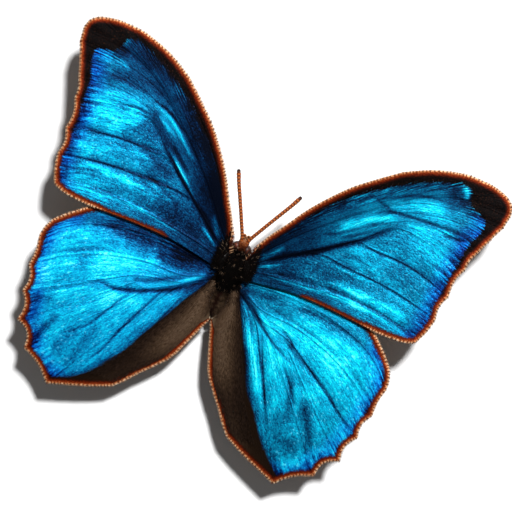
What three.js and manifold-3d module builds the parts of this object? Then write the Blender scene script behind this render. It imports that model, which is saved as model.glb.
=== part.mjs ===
// Blue morpho butterfly, life size, standing with its wings spread.
// Millimetres; +X is the insect's right side, +Y its head end, +Z up, feet on z = 0.

import * as THREE from "three";
import { mergeVertices } from "three/addons/utils/BufferGeometryUtils.js";
import Module from "manifold-3d";

const wasm = await Module();
wasm.setup();

// ---------------------------------------------------------------- driving sizes

const GAP = 0.3;

// Wing sheet: one gently raised surface shared by both pairs of wings.
const WING_ROOT_Z = 11.6;
const DIHEDRAL = Math.tan(THREE.MathUtils.degToRad(5.5));
const CAMBER = 1.4;
const HALF_SPAN = 69.6;
const REAR_DROOP = 3.0;
const REAR_START = -10;
const REAR_LENGTH = 47;
const HIND_BELOW_FORE = 1.35;
const FOLD_DEPTH = 1.7;
const FOLD_WIDTH = 9;
const FOLD_FROM = -9;
const FOLD_TO = -34;
const FOLD_RAMP = 6;

// Wing membrane and the ridges of its veins.
const MEMBRANE = 0.5;
const RIDGE_TOP = 0.3;
const RIDGE_UNDER = 0.14;
const RIDGE_HALF_WIDTH = 0.5;
const RIDGE_TIP_SHARE = 0.45;
const EDGE_STEP = 2.1;
const VEIN_STEP = 3.2;
const FIELD_STEP = 4.8;
const CLEAR_OF_VEIN = 2.3;
const CLEAR_OF_EDGE = 2.0;
const CLOSEST = 0.42;
const DIPS_PER_BAY = 5;
const ROW_SHARE = 0.87;
const FIELD_REACH = 60;
const SCATTER = 2e-3;
const SAME_DISTANCE = 1e-6;

// Body: stations run along Y; w and h are half width and half height.
const THORAX = [
  { y: 1.3, z: 9.1, w: 2.0, h: 2.0 },
  { y: 0.5, z: 9.1, w: 2.8, h: 2.8 },
  { y: -1.0, z: 9.2, w: 3.7, h: 3.7 },
  { y: -3.8, z: 9.3, w: 4.35, h: 4.3 },
  { y: -6.8, z: 9.1, w: 4.1, h: 4.0 },
  { y: -9.4, z: 8.9, w: 3.2, h: 3.2 },
  { y: -11.3, z: 8.7, w: 2.3, h: 2.3 },
];
const HEAD = [
  { y: 1.6, z: 9.1, w: 1.7, h: 1.7 },
  { y: 2.4, z: 9.3, w: 2.0, h: 2.1 },
  { y: 4.0, z: 9.5, w: 2.15, h: 2.4 },
  { y: 5.4, z: 9.5, w: 1.85, h: 2.1 },
  { y: 6.3, z: 9.4, w: 1.2, h: 1.4 },
  { y: 6.8, z: 9.4, w: 0.4, h: 0.5 },
];
const ABDOMEN_FRONT = -11.6;
const ABDOMEN_LENGTH = 8.2;
const ABDOMEN_SEGMENTS = 7;
const ABDOMEN_FRONT_Z = 8.7;
const ABDOMEN_SAG = 3.1;
const ABDOMEN_WIDTH = 2.04;
const ABDOMEN_FLATTEN = 1.02;
const ABDOMEN_SWELL = 0.12;
const ABDOMEN_TIP = 0.28;
const ABDOMEN_GROOVE = 0.12;
const RINGS_PER_SEGMENT = 3;

const EYE_CENTRE = [1.65, 4.1, 9.7];
const EYE_RADII = [1.25, 1.55, 1.75];

const BODY_SIDES = 28;
const LIMB_SIDES = 8;
const FLOOR_DEPTH = 10;

// ---------------------------------------------------------------- wing outlines and veins
// All wing plans are for the right side, seen from above: [across, ahead].

const FORE_COSTA = [
  [2.4, 0.6], [3.7, 3.2], [4.2, 6.6], [5.9, 10.3], [9.1, 15.3], [13.2, 22.1], [17.9, 28.4],
  [23.0, 34.2], [28.9, 39.4], [34.9, 44.3], [42.0, 48.1], [49.6, 50.6], [57.1, 51.5],
  [64.0, 50.9], [68.0, 48.5], [69.6, 45.0],
];
const FORE_REAR = [
  [59.4, 0.3], [58.0, -1.3], [55.6, -2.1], [52.0, -2.5], [47.0, -2.7], [40.0, -2.3], [30.0, -1.9],
  [20.0, -2.1], [8.0, -3.8], [2.4, -4.4],
];
const FORE_VEINS = [
  {
    name: "subcosta",
    path: [[2.4, 0.9], [5.6, 7.4], [12.2, 17.8], [20.2, 28.2], [30.0, 37.6], [40.4, 46.0]],
  },
  {
    name: "radius",
    path: [
      [2.4, 0.4], [8.0, 7.6], [16.0, 16.6], [24.6, 25.0], [33.2, 32.4], [42.6, 39.2], [54.0, 44.4],
      [69.6, 45.0],
    ],
    dip: 0.1,
  },
  { name: "radius 5", path: [[37.0, 35.2], [45.3, 38.6], [57.0, 40.8], [69.0, 41.0]], dip: 0.1 },
  { name: "media 1", path: [[36.6, 31.8], [46.0, 35.6], [56.0, 37.2], [67.0, 36.2]], dip: 0.1 },
  { name: "media 2", path: [[39.6, 30.4], [48.0, 32.6], [57.0, 32.6], [65.0, 31.0]], dip: 0.5 },
  { name: "media 3", path: [[39.9, 28.2], [50.0, 28.0], [63.6, 25.0]], dip: 0.9 },
  {
    name: "cubitus 1",
    path: [[31.5, 20.7], [36.0, 19.8], [44.0, 19.6], [54.6, 18.0], [62.4, 15.6]],
    dip: 0.9,
  },
  {
    name: "cubitus 2",
    path: [[19.9, 12.2], [24.0, 12.0], [30.0, 11.6], [47.7, 10.6], [61.6, 7.9]],
    dip: -0.3,
  },
  { name: "anal", path: [[2.4, -2.0], [12.6, 0.2], [29.1, 2.3], [44.0, 2.6], [59.4, 0.3]], dip: 0 },
  {
    name: "cell rear",
    path: [[2.4, -0.6], [7.0, 2.8], [15.3, 8.9], [25.5, 16.2], [31.5, 20.7], [39.9, 28.2]],
  },
  { name: "cell end", path: [[39.9, 28.2], [39.6, 30.4], [36.6, 31.8], [33.2, 32.4]] },
];

const HIND_FRONT = [
  [2.4, -5.6], [5.2, -3.6], [12.0, 0.2], [22.0, 2.4], [33.0, 2.2], [41.0, 0.0], [46.8, -3.3],
  [50.2, -6.2], [54.0, -9.6], [56.2, -13.2], [56.8, -17.2],
];
const HIND_INNER = [
  [37.4, -57.0], [32.6, -55.2], [27.2, -53.4], [23.0, -51.4], [19.0, -49.9], [16.1, -46.8],
  [13.0, -42.9], [9.7, -39.2], [5.9, -34.9], [3.4, -29.9], [1.6, -25.6], [0.45, -22.4], [0.4, -20.2],
  [1.4, -17.0], [2.55, -14.4], [2.8, -12.0], [2.0, -9.0],
];
const HIND_VEINS = [
  {
    name: "subcosta",
    path: [
      [2.4, -6.2], [10.0, -4.4], [22.0, -3.6], [33.6, -4.6], [45.0, -8.0], [52.0, -12.4], [56.8, -17.2],
    ],
    dip: 0.5,
  },
  {
    name: "radial",
    path: [[13.2, -10.6], [24.0, -11.2], [36.0, -14.0], [47.0, -19.2], [56.1, -26.2]],
    dip: 1.15,
  },
  {
    name: "media 2",
    path: [[13.2, -13.2], [24.9, -15.9], [34.8, -21.6], [45.3, -28.4], [54.8, -34.0]],
    dip: 1.45,
  },
  { name: "media 3", path: [[24.9, -17.6], [32.0, -24.6], [42.0, -33.6], [52.8, -42.6]], dip: 1.9 },
  { name: "cubitus 1", path: [[20.7, -18.9], [28.0, -27.4], [37.6, -38.4], [47.6, -49.8]], dip: 1.0 },
  { name: "cubitus 2", path: [[13.2, -13.2], [20.7, -27.9], [28.8, -41.4], [37.4, -57.0]], dip: 0 },
  { name: "anal", path: [[2.4, -7.6], [8.1, -15.9], [14.6, -29.0], [20.4, -41.4], [27.2, -53.4]] },
  { name: "cell stem", path: [[2.4, -6.9], [7.6, -9.2], [13.2, -13.2], [20.7, -18.9], [24.9, -17.6]] },
  { name: "cell front", path: [[7.6, -9.2], [13.2, -10.6], [13.2, -13.2]] },
];

// ---------------------------------------------------------------- limbs and feelers
// Right side centre lines as [x, y, z, radius]; the left side is their mirror image.

const ANTENNA = [
  [0.8, 5.2, 10.0, 0.38], [1.2, 7.0, 11.4, 0.34], [3.6, 11.8, 13.4, 0.33], [6.6, 17.4, 15.0, 0.34],
  [8.9, 21.8, 16.0, 0.38], [10.0, 24.0, 16.5, 0.52], [10.4, 24.9, 16.7, 0.34],
];
const PALP = [
  [0.9, 5.4, 8.6, 0.3], [1.0, 6.9, 8.2, 0.42], [1.0, 7.7, 9.2, 0.45], [0.95, 7.9, 10.4, 0.34],
  [0.9, 7.9, 11.1, 0.2],
];
const FORELEG = [
  [1.3, 0.6, 7.4, 0.5], [1.9, 0.9, 5.9, 0.45], [2.5, 2.6, 5.4, 0.42], [2.6, 4.4, 6.0, 0.38],
  [2.3, 4.0, 7.0, 0.33], [2.5, 3.0, 7.2, 0.28],
];
const MIDLEG = [
  [1.2, -3.6, 6.6, 0.75], [2.6, -3.6, 5.0, 0.62], [4.6, -2.6, 6.2, 0.5], [8.4, -0.6, 8.0, 0.44],
  [9.4, 0.4, 7.4, 0.4], [11.2, 3.0, 2.6, 0.32], [11.8, 4.2, 0.62, 0.3], [12.4, 6.4, 0.26, 0.34],
  [13.0, 9.0, 0.26, 0.34],
];
const HINDLEG = [
  [1.2, -7.4, 6.6, 0.75], [2.4, -7.8, 5.0, 0.62], [4.2, -9.2, 6.2, 0.5], [8.0, -12.0, 8.0, 0.44],
  [9.0, -12.9, 7.4, 0.4], [11.6, -15.6, 2.6, 0.32], [12.4, -16.6, 0.62, 0.3], [13.4, -18.6, 0.26, 0.34],
  [14.2, -21.0, 0.26, 0.34],
];
const PROBOSCIS_CENTRE = [0, 6.3, 6.5];
const PROBOSCIS_TURNS = 1.75;
const PROBOSCIS_OUTER = 1.55;
const PROBOSCIS_INNER = 0.45;
const PROBOSCIS_RADIUS = 0.27;
const PROBOSCIS_ROOT = [0, 5.4, 8.6];
const PROBOSCIS_START = THREE.MathUtils.degToRad(112);
const PROBOSCIS_POINTS = 18;

// ---------------------------------------------------------------- colours

const COLOURS = {
  wing: { color: 0x0f9fd4, roughness: 0.35, metalness: 0.45 },
  body: { color: 0x1f140e, roughness: 0.95, metalness: 0 },
  eye: { color: 0x2b1710, roughness: 0.25, metalness: 0 },
  antenna: { color: 0xb5623a, roughness: 0.6, metalness: 0 },
  leg: { color: 0x3a2416, roughness: 0.7, metalness: 0 },
  palp: { color: 0x9a4d2a, roughness: 0.9, metalness: 0 },
  proboscis: { color: 0x5a3520, roughness: 0.4, metalness: 0 },
};

// ---------------------------------------------------------------- solids

function signedVolume(positions, triangles) {
  let sum = 0;
  const a = new THREE.Vector3();
  const b = new THREE.Vector3();
  const c = new THREE.Vector3();
  for (let i = 0; i < triangles.length; i += 3) {
    a.fromArray(positions, 3 * triangles[i]);
    b.fromArray(positions, 3 * triangles[i + 1]);
    c.fromArray(positions, 3 * triangles[i + 2]);
    sum += a.dot(b.cross(c));
  }
  return sum / 6;
}

// A closed solid from plain lists, turned outward whichever way its loops ran.
function solid(positions, triangles) {
  const faces = [...triangles];
  if (signedVolume(positions, faces) < 0) {
    for (let i = 0; i < faces.length; i += 3) {
      [faces[i], faces[i + 1]] = [faces[i + 1], faces[i]];
    }
  }
  const vertProperties = new Float32Array(positions);
  const triVerts = new Uint32Array(faces);
  return new wasm.Manifold(new wasm.Mesh({ numProp: 3, vertProperties, triVerts }));
}

function solidOf(geometry) {
  const bare = new THREE.BufferGeometry();
  bare.setAttribute("position", geometry.getAttribute("position"));
  if (geometry.index) {
    bare.setIndex(geometry.index);
  }
  const merged = mergeVertices(bare, 1e-5);
  const faces = [];
  const index = merged.index.array;
  for (let i = 0; i < index.length; i += 3) {
    const [a, b, c] = [index[i], index[i + 1], index[i + 2]];
    if (a !== b && b !== c && c !== a) {
      faces.push(a, b, c);
    }
  }
  return solid([...merged.getAttribute("position").array], faces);
}

function largest(body) {
  const pieces = body.decompose();
  pieces.sort((a, b) => b.volume() - a.volume());
  return pieces[0];
}

function cut(body, ...tools) {
  return largest(tools.reduce((left, tool) => left.subtract(tool), body));
}

function geometryOf(body, mirrored = false) {
  const { vertProperties, triVerts, numProp } = body.getMesh();
  const positions = new Float32Array((vertProperties.length / numProp) * 3);
  for (let i = 0; i < positions.length / 3; i += 1) {
    positions[3 * i] = vertProperties[numProp * i] * (mirrored ? -1 : 1);
    positions[3 * i + 1] = vertProperties[numProp * i + 1];
    positions[3 * i + 2] = vertProperties[numProp * i + 2];
  }
  const faces = Array.from(triVerts);
  if (mirrored) {
    for (let i = 0; i < faces.length; i += 3) {
      [faces[i], faces[i + 1]] = [faces[i + 1], faces[i]];
    }
  }
  const geometry = new THREE.BufferGeometry();
  geometry.setAttribute("position", new THREE.BufferAttribute(positions, 3));
  geometry.setIndex(faces);
  geometry.computeVertexNormals();
  return geometry;
}

// Skins a row of equal rings of points and closes both ends with a fan.
function skinRings(rings) {
  const sides = rings[0].length;
  const positions = rings.flat().flatMap((p) => [p.x, p.y, p.z]);
  const faces = [];
  for (let r = 0; r + 1 < rings.length; r += 1) {
    for (let s = 0; s < sides; s += 1) {
      const a = r * sides + s;
      const b = r * sides + ((s + 1) % sides);
      faces.push(a, b, a + sides, b, b + sides, a + sides);
    }
  }
  for (const [ring, forward] of [[0, false], [rings.length - 1, true]]) {
    const middle = rings[ring].reduce((sum, p) => sum.add(p), new THREE.Vector3()).divideScalar(sides);
    const hub = positions.length / 3;
    positions.push(middle.x, middle.y, middle.z);
    for (let s = 0; s < sides; s += 1) {
      const a = ring * sides + s;
      const b = ring * sides + ((s + 1) % sides);
      faces.push(...(forward ? [a, b, hub] : [b, a, hub]));
    }
  }
  return solid(positions, faces);
}

function ringAcrossY(station, extra) {
  const ring = [];
  for (let s = 0; s < BODY_SIDES; s += 1) {
    const angle = (2 * Math.PI * s) / BODY_SIDES;
    ring.push(new THREE.Vector3(
      (station.w + extra) * Math.cos(angle),
      station.y,
      station.z + (station.h + extra) * Math.sin(angle),
    ));
  }
  return ring;
}

// Smooth body form through its stations; `extra` swells it for cutting clearances.
function bodyForm(stations, steps, extra = 0) {
  const shape = new THREE.CatmullRomCurve3(
    stations.map((s) => new THREE.Vector3(s.w, s.y, s.z)), false, "centripetal");
  const heights = new THREE.CatmullRomCurve3(
    stations.map((s) => new THREE.Vector3(s.h, s.y, s.z)), false, "centripetal");
  const rings = [];
  for (let i = 0; i <= steps; i += 1) {
    const p = shape.getPoint(i / steps);
    const q = heights.getPoint(i / steps);
    rings.push(ringAcrossY({ y: p.y, z: p.z, w: p.x, h: q.x }, extra));
  }
  if (extra > 0) {
    for (const p of rings[0]) {
      p.y += extra;
    }
    for (const p of rings[rings.length - 1]) {
      p.y -= extra;
    }
  }
  return skinRings(rings);
}

function abdomenForm(extra = 0) {
  const rings = [];
  const steps = ABDOMEN_SEGMENTS * RINGS_PER_SEGMENT;
  for (let i = 0; i <= steps; i += 1) {
    const t = i / steps;
    const swell = Math.pow(1 - Math.pow(t, 2.6), 0.62) * (1 + ABDOMEN_SWELL * Math.sin(Math.PI * t));
    const groove = i % RINGS_PER_SEGMENT === 0 && i > 0 && i < steps ? ABDOMEN_GROOVE : 0;
    const radius = Math.max(ABDOMEN_WIDTH * swell - groove, ABDOMEN_TIP);
    rings.push(ringAcrossY({
      y: ABDOMEN_FRONT - ABDOMEN_LENGTH * t,
      z: ABDOMEN_FRONT_Z - ABDOMEN_SAG * Math.pow(t, 1.25),
      w: radius,
      h: radius * ABDOMEN_FLATTEN,
    }, extra));
  }
  return skinRings(rings);
}

function ellipsoid(centre, radii, extra = 0) {
  const ball = new THREE.SphereGeometry(1, 20, 14);
  ball.rotateZ(Math.PI / 2);
  ball.scale(...radii.map((r) => r + extra));
  ball.translate(...centre);
  return solidOf(ball);
}

// Tapered limb along a smooth centre line of [x, y, z, radius] rows.
function limb(rows, steps, sides = LIMB_SIDES, tension = 0.5) {
  const path = new THREE.CatmullRomCurve3(
    rows.map((r) => new THREE.Vector3(r[0], r[1], r[2])), false, "catmullrom", tension);
  const frames = path.computeFrenetFrames(steps, false);
  const rings = [];
  for (let i = 0; i <= steps; i += 1) {
    const t = i / steps;
    const u = path.getUtoTmapping(t, undefined) * (rows.length - 1);
    const k = Math.min(Math.floor(u), rows.length - 2);
    const radius = THREE.MathUtils.lerp(rows[k][3], rows[k + 1][3], u - k);
    const centre = path.getPointAt(t);
    const ring = [];
    for (let s = 0; s < sides; s += 1) {
      const angle = (2 * Math.PI * (s + 0.5)) / sides;
      ring.push(centre.clone()
        .addScaledVector(frames.normals[i], radius * Math.cos(angle))
        .addScaledVector(frames.binormals[i], radius * Math.sin(angle)));
    }
    rings.push(ring);
  }
  return skinRings(rings);
}

function proboscisForm() {
  const rows = [[...PROBOSCIS_ROOT, PROBOSCIS_RADIUS]];
  for (let i = 0; i <= PROBOSCIS_POINTS; i += 1) {
    const t = i / PROBOSCIS_POINTS;
    const angle = PROBOSCIS_START - 2 * Math.PI * PROBOSCIS_TURNS * t;
    const radius = THREE.MathUtils.lerp(PROBOSCIS_OUTER, PROBOSCIS_INNER, t);
    rows.push([
      PROBOSCIS_CENTRE[0],
      PROBOSCIS_CENTRE[1] + radius * Math.cos(angle),
      PROBOSCIS_CENTRE[2] + radius * Math.sin(angle),
      PROBOSCIS_RADIUS,
    ]);
  }
  return limb(rows, 44, 6);
}

// ---------------------------------------------------------------- flat plans of the wings

function smoothPath(points, step) {
  const curve = new THREE.CatmullRomCurve3(
    points.map(([x, y]) => new THREE.Vector3(x, y, 0)), false, "centripetal");
  const count = Math.max(2, Math.round(curve.getLength() / step));
  return curve.getSpacedPoints(count).map((p) => [p.x, p.y]);
}

// The edge bows in between the ends of neighbouring veins, as a scalloped margin does.
function bay(from, to, dip) {
  const [dx, dy] = [to[0] - from[0], to[1] - from[1]];
  const length = Math.hypot(dx, dy);
  const points = [];
  for (let i = 1; i < DIPS_PER_BAY; i += 1) {
    const t = i / DIPS_PER_BAY;
    const inward = dip * Math.sin(Math.PI * t);
    points.push([from[0] + dx * t + (inward * dy) / length, from[1] + dy * t - (inward * dx) / length]);
  }
  return points;
}

function margin(veins) {
  const ends = veins
    .filter((v) => v.dip !== undefined)
    .map((v) => ({ at: v.path[v.path.length - 1], dip: v.dip }));
  const points = [];
  for (let i = 0; i + 1 < ends.length; i += 1) {
    points.push(ends[i].at, ...bay(ends[i].at, ends[i + 1].at, ends[i].dip));
  }
  return points;
}

function wingOutline(front, veins, rear) {
  const lead = smoothPath(front, EDGE_STEP);
  lead.pop();
  return [...lead, ...margin(veins), ...smoothPath(rear, EDGE_STEP)];
}

function inside([x, y], loop) {
  let hit = false;
  for (let i = 0, j = loop.length - 1; i < loop.length; j = i, i += 1) {
    const [ax, ay] = loop[i];
    const [bx, by] = loop[j];
    if (ay > y !== by > y && x < ((bx - ax) * (y - ay)) / (by - ay) + ax) {
      hit = !hit;
    }
  }
  return hit;
}

function distanceToSegment([x, y], [ax, ay], [bx, by]) {
  const [dx, dy] = [bx - ax, by - ay];
  const t = THREE.MathUtils.clamp(((x - ax) * dx + (y - ay) * dy) / (dx * dx + dy * dy), 0, 1);
  return { distance: Math.hypot(x - ax - dx * t, y - ay - dy * t), t };
}

// Nearest vein: how far away it is, and how far along the vein that point lies (0 to 1).
function nearestVein(point, lines) {
  let best = { distance: Infinity, along: 0 };
  for (const line of lines) {
    for (let i = 0; i + 1 < line.length; i += 1) {
      const { distance, t } = distanceToSegment(point, line[i], line[i + 1]);
      if (distance < best.distance - SAME_DISTANCE) {
        best = { distance, along: (i + t) / (line.length - 1) };
      }
    }
  }
  return best;
}

// Delaunay triangles of scattered plan points (incremental insertion).
function triangulate(points) {
  const far = 1e4;
  const all = [...points, [-far, -far], [far, -far], [0, far]];
  const n = points.length;
  const circle = (a, b, c) => {
    const [ax, ay] = all[a];
    const [bx, by] = [all[b][0] - ax, all[b][1] - ay];
    const [cx, cy] = [all[c][0] - ax, all[c][1] - ay];
    const d = 2 * (bx * cy - by * cx);
    const ux = (cy * (bx * bx + by * by) - by * (cx * cx + cy * cy)) / d;
    const uy = (bx * (cx * cx + cy * cy) - cx * (bx * bx + by * by)) / d;
    return { at: [a, b, c], x: ax + ux, y: ay + uy, rr: ux * ux + uy * uy };
  };
  let triangles = [circle(n, n + 1, n + 2)];
  for (let i = 0; i < n; i += 1) {
    const [x, y] = all[i];
    const rim = new Map();
    const kept = [];
    for (const tri of triangles) {
      if ((x - tri.x) ** 2 + (y - tri.y) ** 2 >= tri.rr) {
        kept.push(tri);
        continue;
      }
      const [a, b, c] = tri.at;
      for (const [p, q] of [[a, b], [b, c], [c, a]]) {
        if (!rim.delete(`${q},${p}`)) {
          rim.set(`${p},${q}`, [p, q]);
        }
      }
    }
    triangles = kept;
    for (const [p, q] of rim.values()) {
      triangles.push(circle(p, q, i));
    }
  }
  return triangles.map((tri) => tri.at).filter((at) => at.every((k) => k < n));
}

function planPoints(outline, lines) {
  const points = outline.map((p) => [...p]);
  const clear = (p, reach) => points.every((q) => Math.hypot(p[0] - q[0], p[1] - q[1]) > reach);
  const add = (p, reach) => {
    if (inside(p, outline) && clear(p, reach)) {
      points.push(p);
    }
  };
  for (const line of lines) {
    line.forEach((p) => add(p, CLOSEST));
  }
  for (const line of lines) {
    for (let i = 1; i + 1 < line.length; i += 1) {
      const [dx, dy] = [line[i + 1][0] - line[i - 1][0], line[i + 1][1] - line[i - 1][1]];
      const unit = RIDGE_HALF_WIDTH / Math.hypot(dx, dy);
      add([line[i][0] - dy * unit, line[i][1] + dx * unit], CLOSEST);
      add([line[i][0] + dy * unit, line[i][1] - dx * unit], CLOSEST);
    }
  }
  let row = 0;
  for (let y = -FIELD_REACH; y < FIELD_REACH; y += FIELD_STEP * ROW_SHARE) {
    row += 1;
    for (let x = ((row % 2) * FIELD_STEP) / 2; x < HALF_SPAN; x += FIELD_STEP) {
      if (nearestVein([x, y], lines).distance > CLEAR_OF_VEIN) {
        add([x, y], CLEAR_OF_EDGE);
      }
    }
  }
  // A hair of scatter keeps four points from ever lying on one circle.
  return points.map(([x, y], i) => [x + SCATTER * Math.sin(i * 12.9), y + SCATTER * Math.sin(i * 78.2)]);
}

// ---------------------------------------------------------------- wings as solids

function sheetHeight(x, y) {
  const out = Math.abs(x);
  const back = Math.max(0, (REAR_START - y) / REAR_LENGTH);
  const camber = CAMBER * Math.sin((Math.PI * out) / HALF_SPAN);
  return WING_ROOT_Z + DIHEDRAL * out + camber - REAR_DROOP * back * back;
}

// The inner part of a hindwing dips beside the abdomen.
function innerFold(x, y) {
  const lean = Math.max(0, 1 - Math.abs(x) / FOLD_WIDTH);
  const begun = THREE.MathUtils.smoothstep(FOLD_FROM - y, 0, FOLD_RAMP);
  const ended = THREE.MathUtils.smoothstep(y - FOLD_TO, 0, 2 * FOLD_RAMP);
  return FOLD_DEPTH * lean * lean * begun * ended;
}

// Top and underside share one set of plan triangles, a membrane's thickness apart.
function wingSolid(outline, veins, levelAt) {
  const lines = veins.map((v) => smoothPath(v.path, VEIN_STEP));
  const points = planPoints(outline, lines);
  const faces = triangulate(points).filter((at) => {
    const x = at.reduce((sum, k) => sum + points[k][0], 0) / 3;
    const y = at.reduce((sum, k) => sum + points[k][1], 0) / 3;
    return inside([x, y], outline);
  });
  const count = points.length;
  const top = [];
  const under = [];
  for (const [x, y] of points) {
    const { distance, along } = nearestVein([x, y], lines);
    const taper = THREE.MathUtils.lerp(1, RIDGE_TIP_SHARE, along);
    const crest = taper * Math.max(0, 1 - distance / RIDGE_HALF_WIDTH);
    const level = levelAt(x, y);
    top.push(x, y, level + MEMBRANE / 2 + RIDGE_TOP * crest);
    under.push(x, y, level - MEMBRANE / 2 - RIDGE_UNDER * crest);
  }
  const triangles = [];
  const open = new Map();
  for (const [a, b, c] of faces) {
    triangles.push(a, b, c, count + a, count + c, count + b);
    for (const [p, q] of [[a, b], [b, c], [c, a]]) {
      if (!open.delete(`${q},${p}`)) {
        open.set(`${p},${q}`, [p, q]);
      }
    }
  }
  for (const [p, q] of open.values()) {
    triangles.push(p, count + p, q, q, count + p, count + q);
  }
  return solid([...top, ...under], triangles);
}

// ---------------------------------------------------------------- assembly

const thoraxStems = bodyForm(THORAX, 14, GAP);
const headStems = bodyForm(HEAD, 12, GAP);
const eye = ellipsoid(EYE_CENTRE, EYE_RADII);
const eyeRoom = ellipsoid(EYE_CENTRE, EYE_RADII, GAP);
const mirrorX = (body) => solidOf(geometryOf(body, true));
const floor = solidOf(new THREE.BoxGeometry(4 * HALF_SPAN, 4 * HALF_SPAN, FLOOR_DEPTH)
  .translate(0, 0, -FLOOR_DEPTH / 2));

const butterfly = new THREE.Group();
butterfly.name = "blue_morpho";

function addNode(name, body, look, mirrored = false) {
  const mesh = new THREE.Mesh(geometryOf(body, mirrored), new THREE.MeshStandardMaterial(COLOURS[look]));
  mesh.name = name;
  mesh.material.name = `${name}_${look}`;
  butterfly.add(mesh);
}

function addPair(name, body, look) {
  addNode(`${name}_right`, body, look);
  addNode(`${name}_left`, body, look, true);
}

addNode("thorax", bodyForm(THORAX, 14), "body");
addNode("head", cut(bodyForm(HEAD, 12), eyeRoom, mirrorX(eyeRoom)), "body");
addNode("abdomen", abdomenForm(), "body");
addNode("proboscis", cut(proboscisForm(), headStems), "proboscis");

addPair("eye", eye, "eye");
addPair("antenna", cut(limb(ANTENNA, 16), headStems, eyeRoom), "antenna");
addPair("palp", cut(limb(PALP, 8), headStems, eyeRoom), "palp");
addPair("foreleg", cut(limb(FORELEG, 12), thoraxStems, headStems, eyeRoom), "leg");
addPair("midleg", cut(limb(MIDLEG, 22), thoraxStems, floor), "leg");
addPair("hindleg", cut(limb(HINDLEG, 22), thoraxStems, floor), "leg");

const foreOutline = wingOutline(FORE_COSTA, FORE_VEINS, FORE_REAR);
const hindOutline = wingOutline(HIND_FRONT, HIND_VEINS, HIND_INNER);
const hindHeight = (x, y) => sheetHeight(x, y) - HIND_BELOW_FORE - innerFold(x, y);
addPair("forewing", cut(wingSolid(foreOutline, FORE_VEINS, sheetHeight), thoraxStems), "wing");
addPair("hindwing", cut(wingSolid(hindOutline, HIND_VEINS, hindHeight), thoraxStems), "wing");

const box = new THREE.Box3().setFromObject(butterfly);
butterfly.children.forEach((mesh) => {
  mesh.geometry.translate(0, -(box.min.y + box.max.y) / 2, 0);
});

export default butterfly;
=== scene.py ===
# %% [markdown]
# # A blue morpho butterfly
#
# This lesson dresses a life-size model of a blue morpho that stands with its wings spread.
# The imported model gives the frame: every piece sits where its solid part sits, in metres,
# with +X to the insect's right, +Y towards its head and the feet on z = 0.
#
# Each step first says what the piece is on the living insect, and then makes it.

import math

import bmesh
import bpy
import numpy as np
from mathutils import Matrix, Vector


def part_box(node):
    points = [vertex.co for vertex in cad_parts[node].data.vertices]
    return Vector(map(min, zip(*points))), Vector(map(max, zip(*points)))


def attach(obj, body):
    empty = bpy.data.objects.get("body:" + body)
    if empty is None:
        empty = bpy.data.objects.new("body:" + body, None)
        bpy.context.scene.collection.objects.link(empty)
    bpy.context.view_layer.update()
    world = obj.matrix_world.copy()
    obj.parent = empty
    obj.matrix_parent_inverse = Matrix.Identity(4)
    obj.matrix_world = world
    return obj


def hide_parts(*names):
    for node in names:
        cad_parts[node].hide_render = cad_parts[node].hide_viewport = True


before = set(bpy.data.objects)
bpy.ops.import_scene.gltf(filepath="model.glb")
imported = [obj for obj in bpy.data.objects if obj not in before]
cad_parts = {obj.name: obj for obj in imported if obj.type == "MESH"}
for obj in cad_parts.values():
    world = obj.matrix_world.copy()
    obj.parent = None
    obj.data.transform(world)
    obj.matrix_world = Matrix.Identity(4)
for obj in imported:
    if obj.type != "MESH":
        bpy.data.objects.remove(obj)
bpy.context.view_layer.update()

# %% [markdown]
# ## Measures
#
# Every size below is in millimetres, in a plan whose zero lies on the body near the wing roots.
# The solid model was slid along Y to centre it, so the thorax tells how far the plan has to move.

# %% Units and places
THORAX_FRONT = 1.3
SLIDE = 1000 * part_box("thorax")[1].y - THORAX_FRONT
SIDES = (("right", False), ("left", True))


def metres(points):
    """Plan millimetres (x, y, z rows) to metres in the model's frame."""
    return (np.asarray(points, float) + [0, SLIDE, 0]) / 1000


def srgb(code):
    """A hex colour as the linear values that a shader reads."""
    parts = [int(code[i:i + 2], 16) / 255 for i in (0, 2, 4)]
    return [*(p / 12.92 if p <= 0.04045 else ((p + 0.055) / 1.055) ** 2.4 for p in parts), 1]


def hand(mirrored):
    """What a place on the right side is multiplied by to stand on the wanted side."""
    return np.array([-1, 1, 1]) if mirrored else np.array([1, 1, 1])


print("plan slides forward by", round(SLIDE, 2), "mm")

# %% [markdown]
# ## Nodes without fuss
#
# A material here is a small tree of nodes. One helper adds any node: the dictionary fills or links
# its inputs, and the other words set its own choices. It hands back the output that the next node reads.

# %% One helper for every node
def node(tree, kind, inputs=None, out=0, stops=None, **choices):
    """Adds one shader node and returns one of its outputs."""
    made = tree.nodes.new("ShaderNode" + kind)
    for key, value in choices.items():
        setattr(made, key, value)
    if stops:
        ramp = made.color_ramp
        while len(ramp.elements) < len(stops):
            ramp.elements.new(0.5)
        for element, (place, colour) in zip(ramp.elements, stops):
            element.position = place
            element.color = srgb(colour)
    for socket, value in (inputs or {}).items():
        target = made.inputs[socket]
        if isinstance(value, bpy.types.NodeSocket):
            tree.links.new(value, target)
        else:
            target.default_value = value
    return made.outputs[out] if made.outputs else made


def new_material(name):
    """An empty material and its node tree."""
    made = bpy.data.materials.new(name)
    made.use_nodes = True
    made.node_tree.nodes.clear()
    return made, made.node_tree


# %% [markdown]
# ## Smooth lines
#
# A wing's edge and its veins are drawn from a few points each. A curve that passes through all of
# them (a centripetal Catmull-Rom spline) keeps the line smooth without overshooting, and equal steps
# along it make even rows of mesh.

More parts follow.
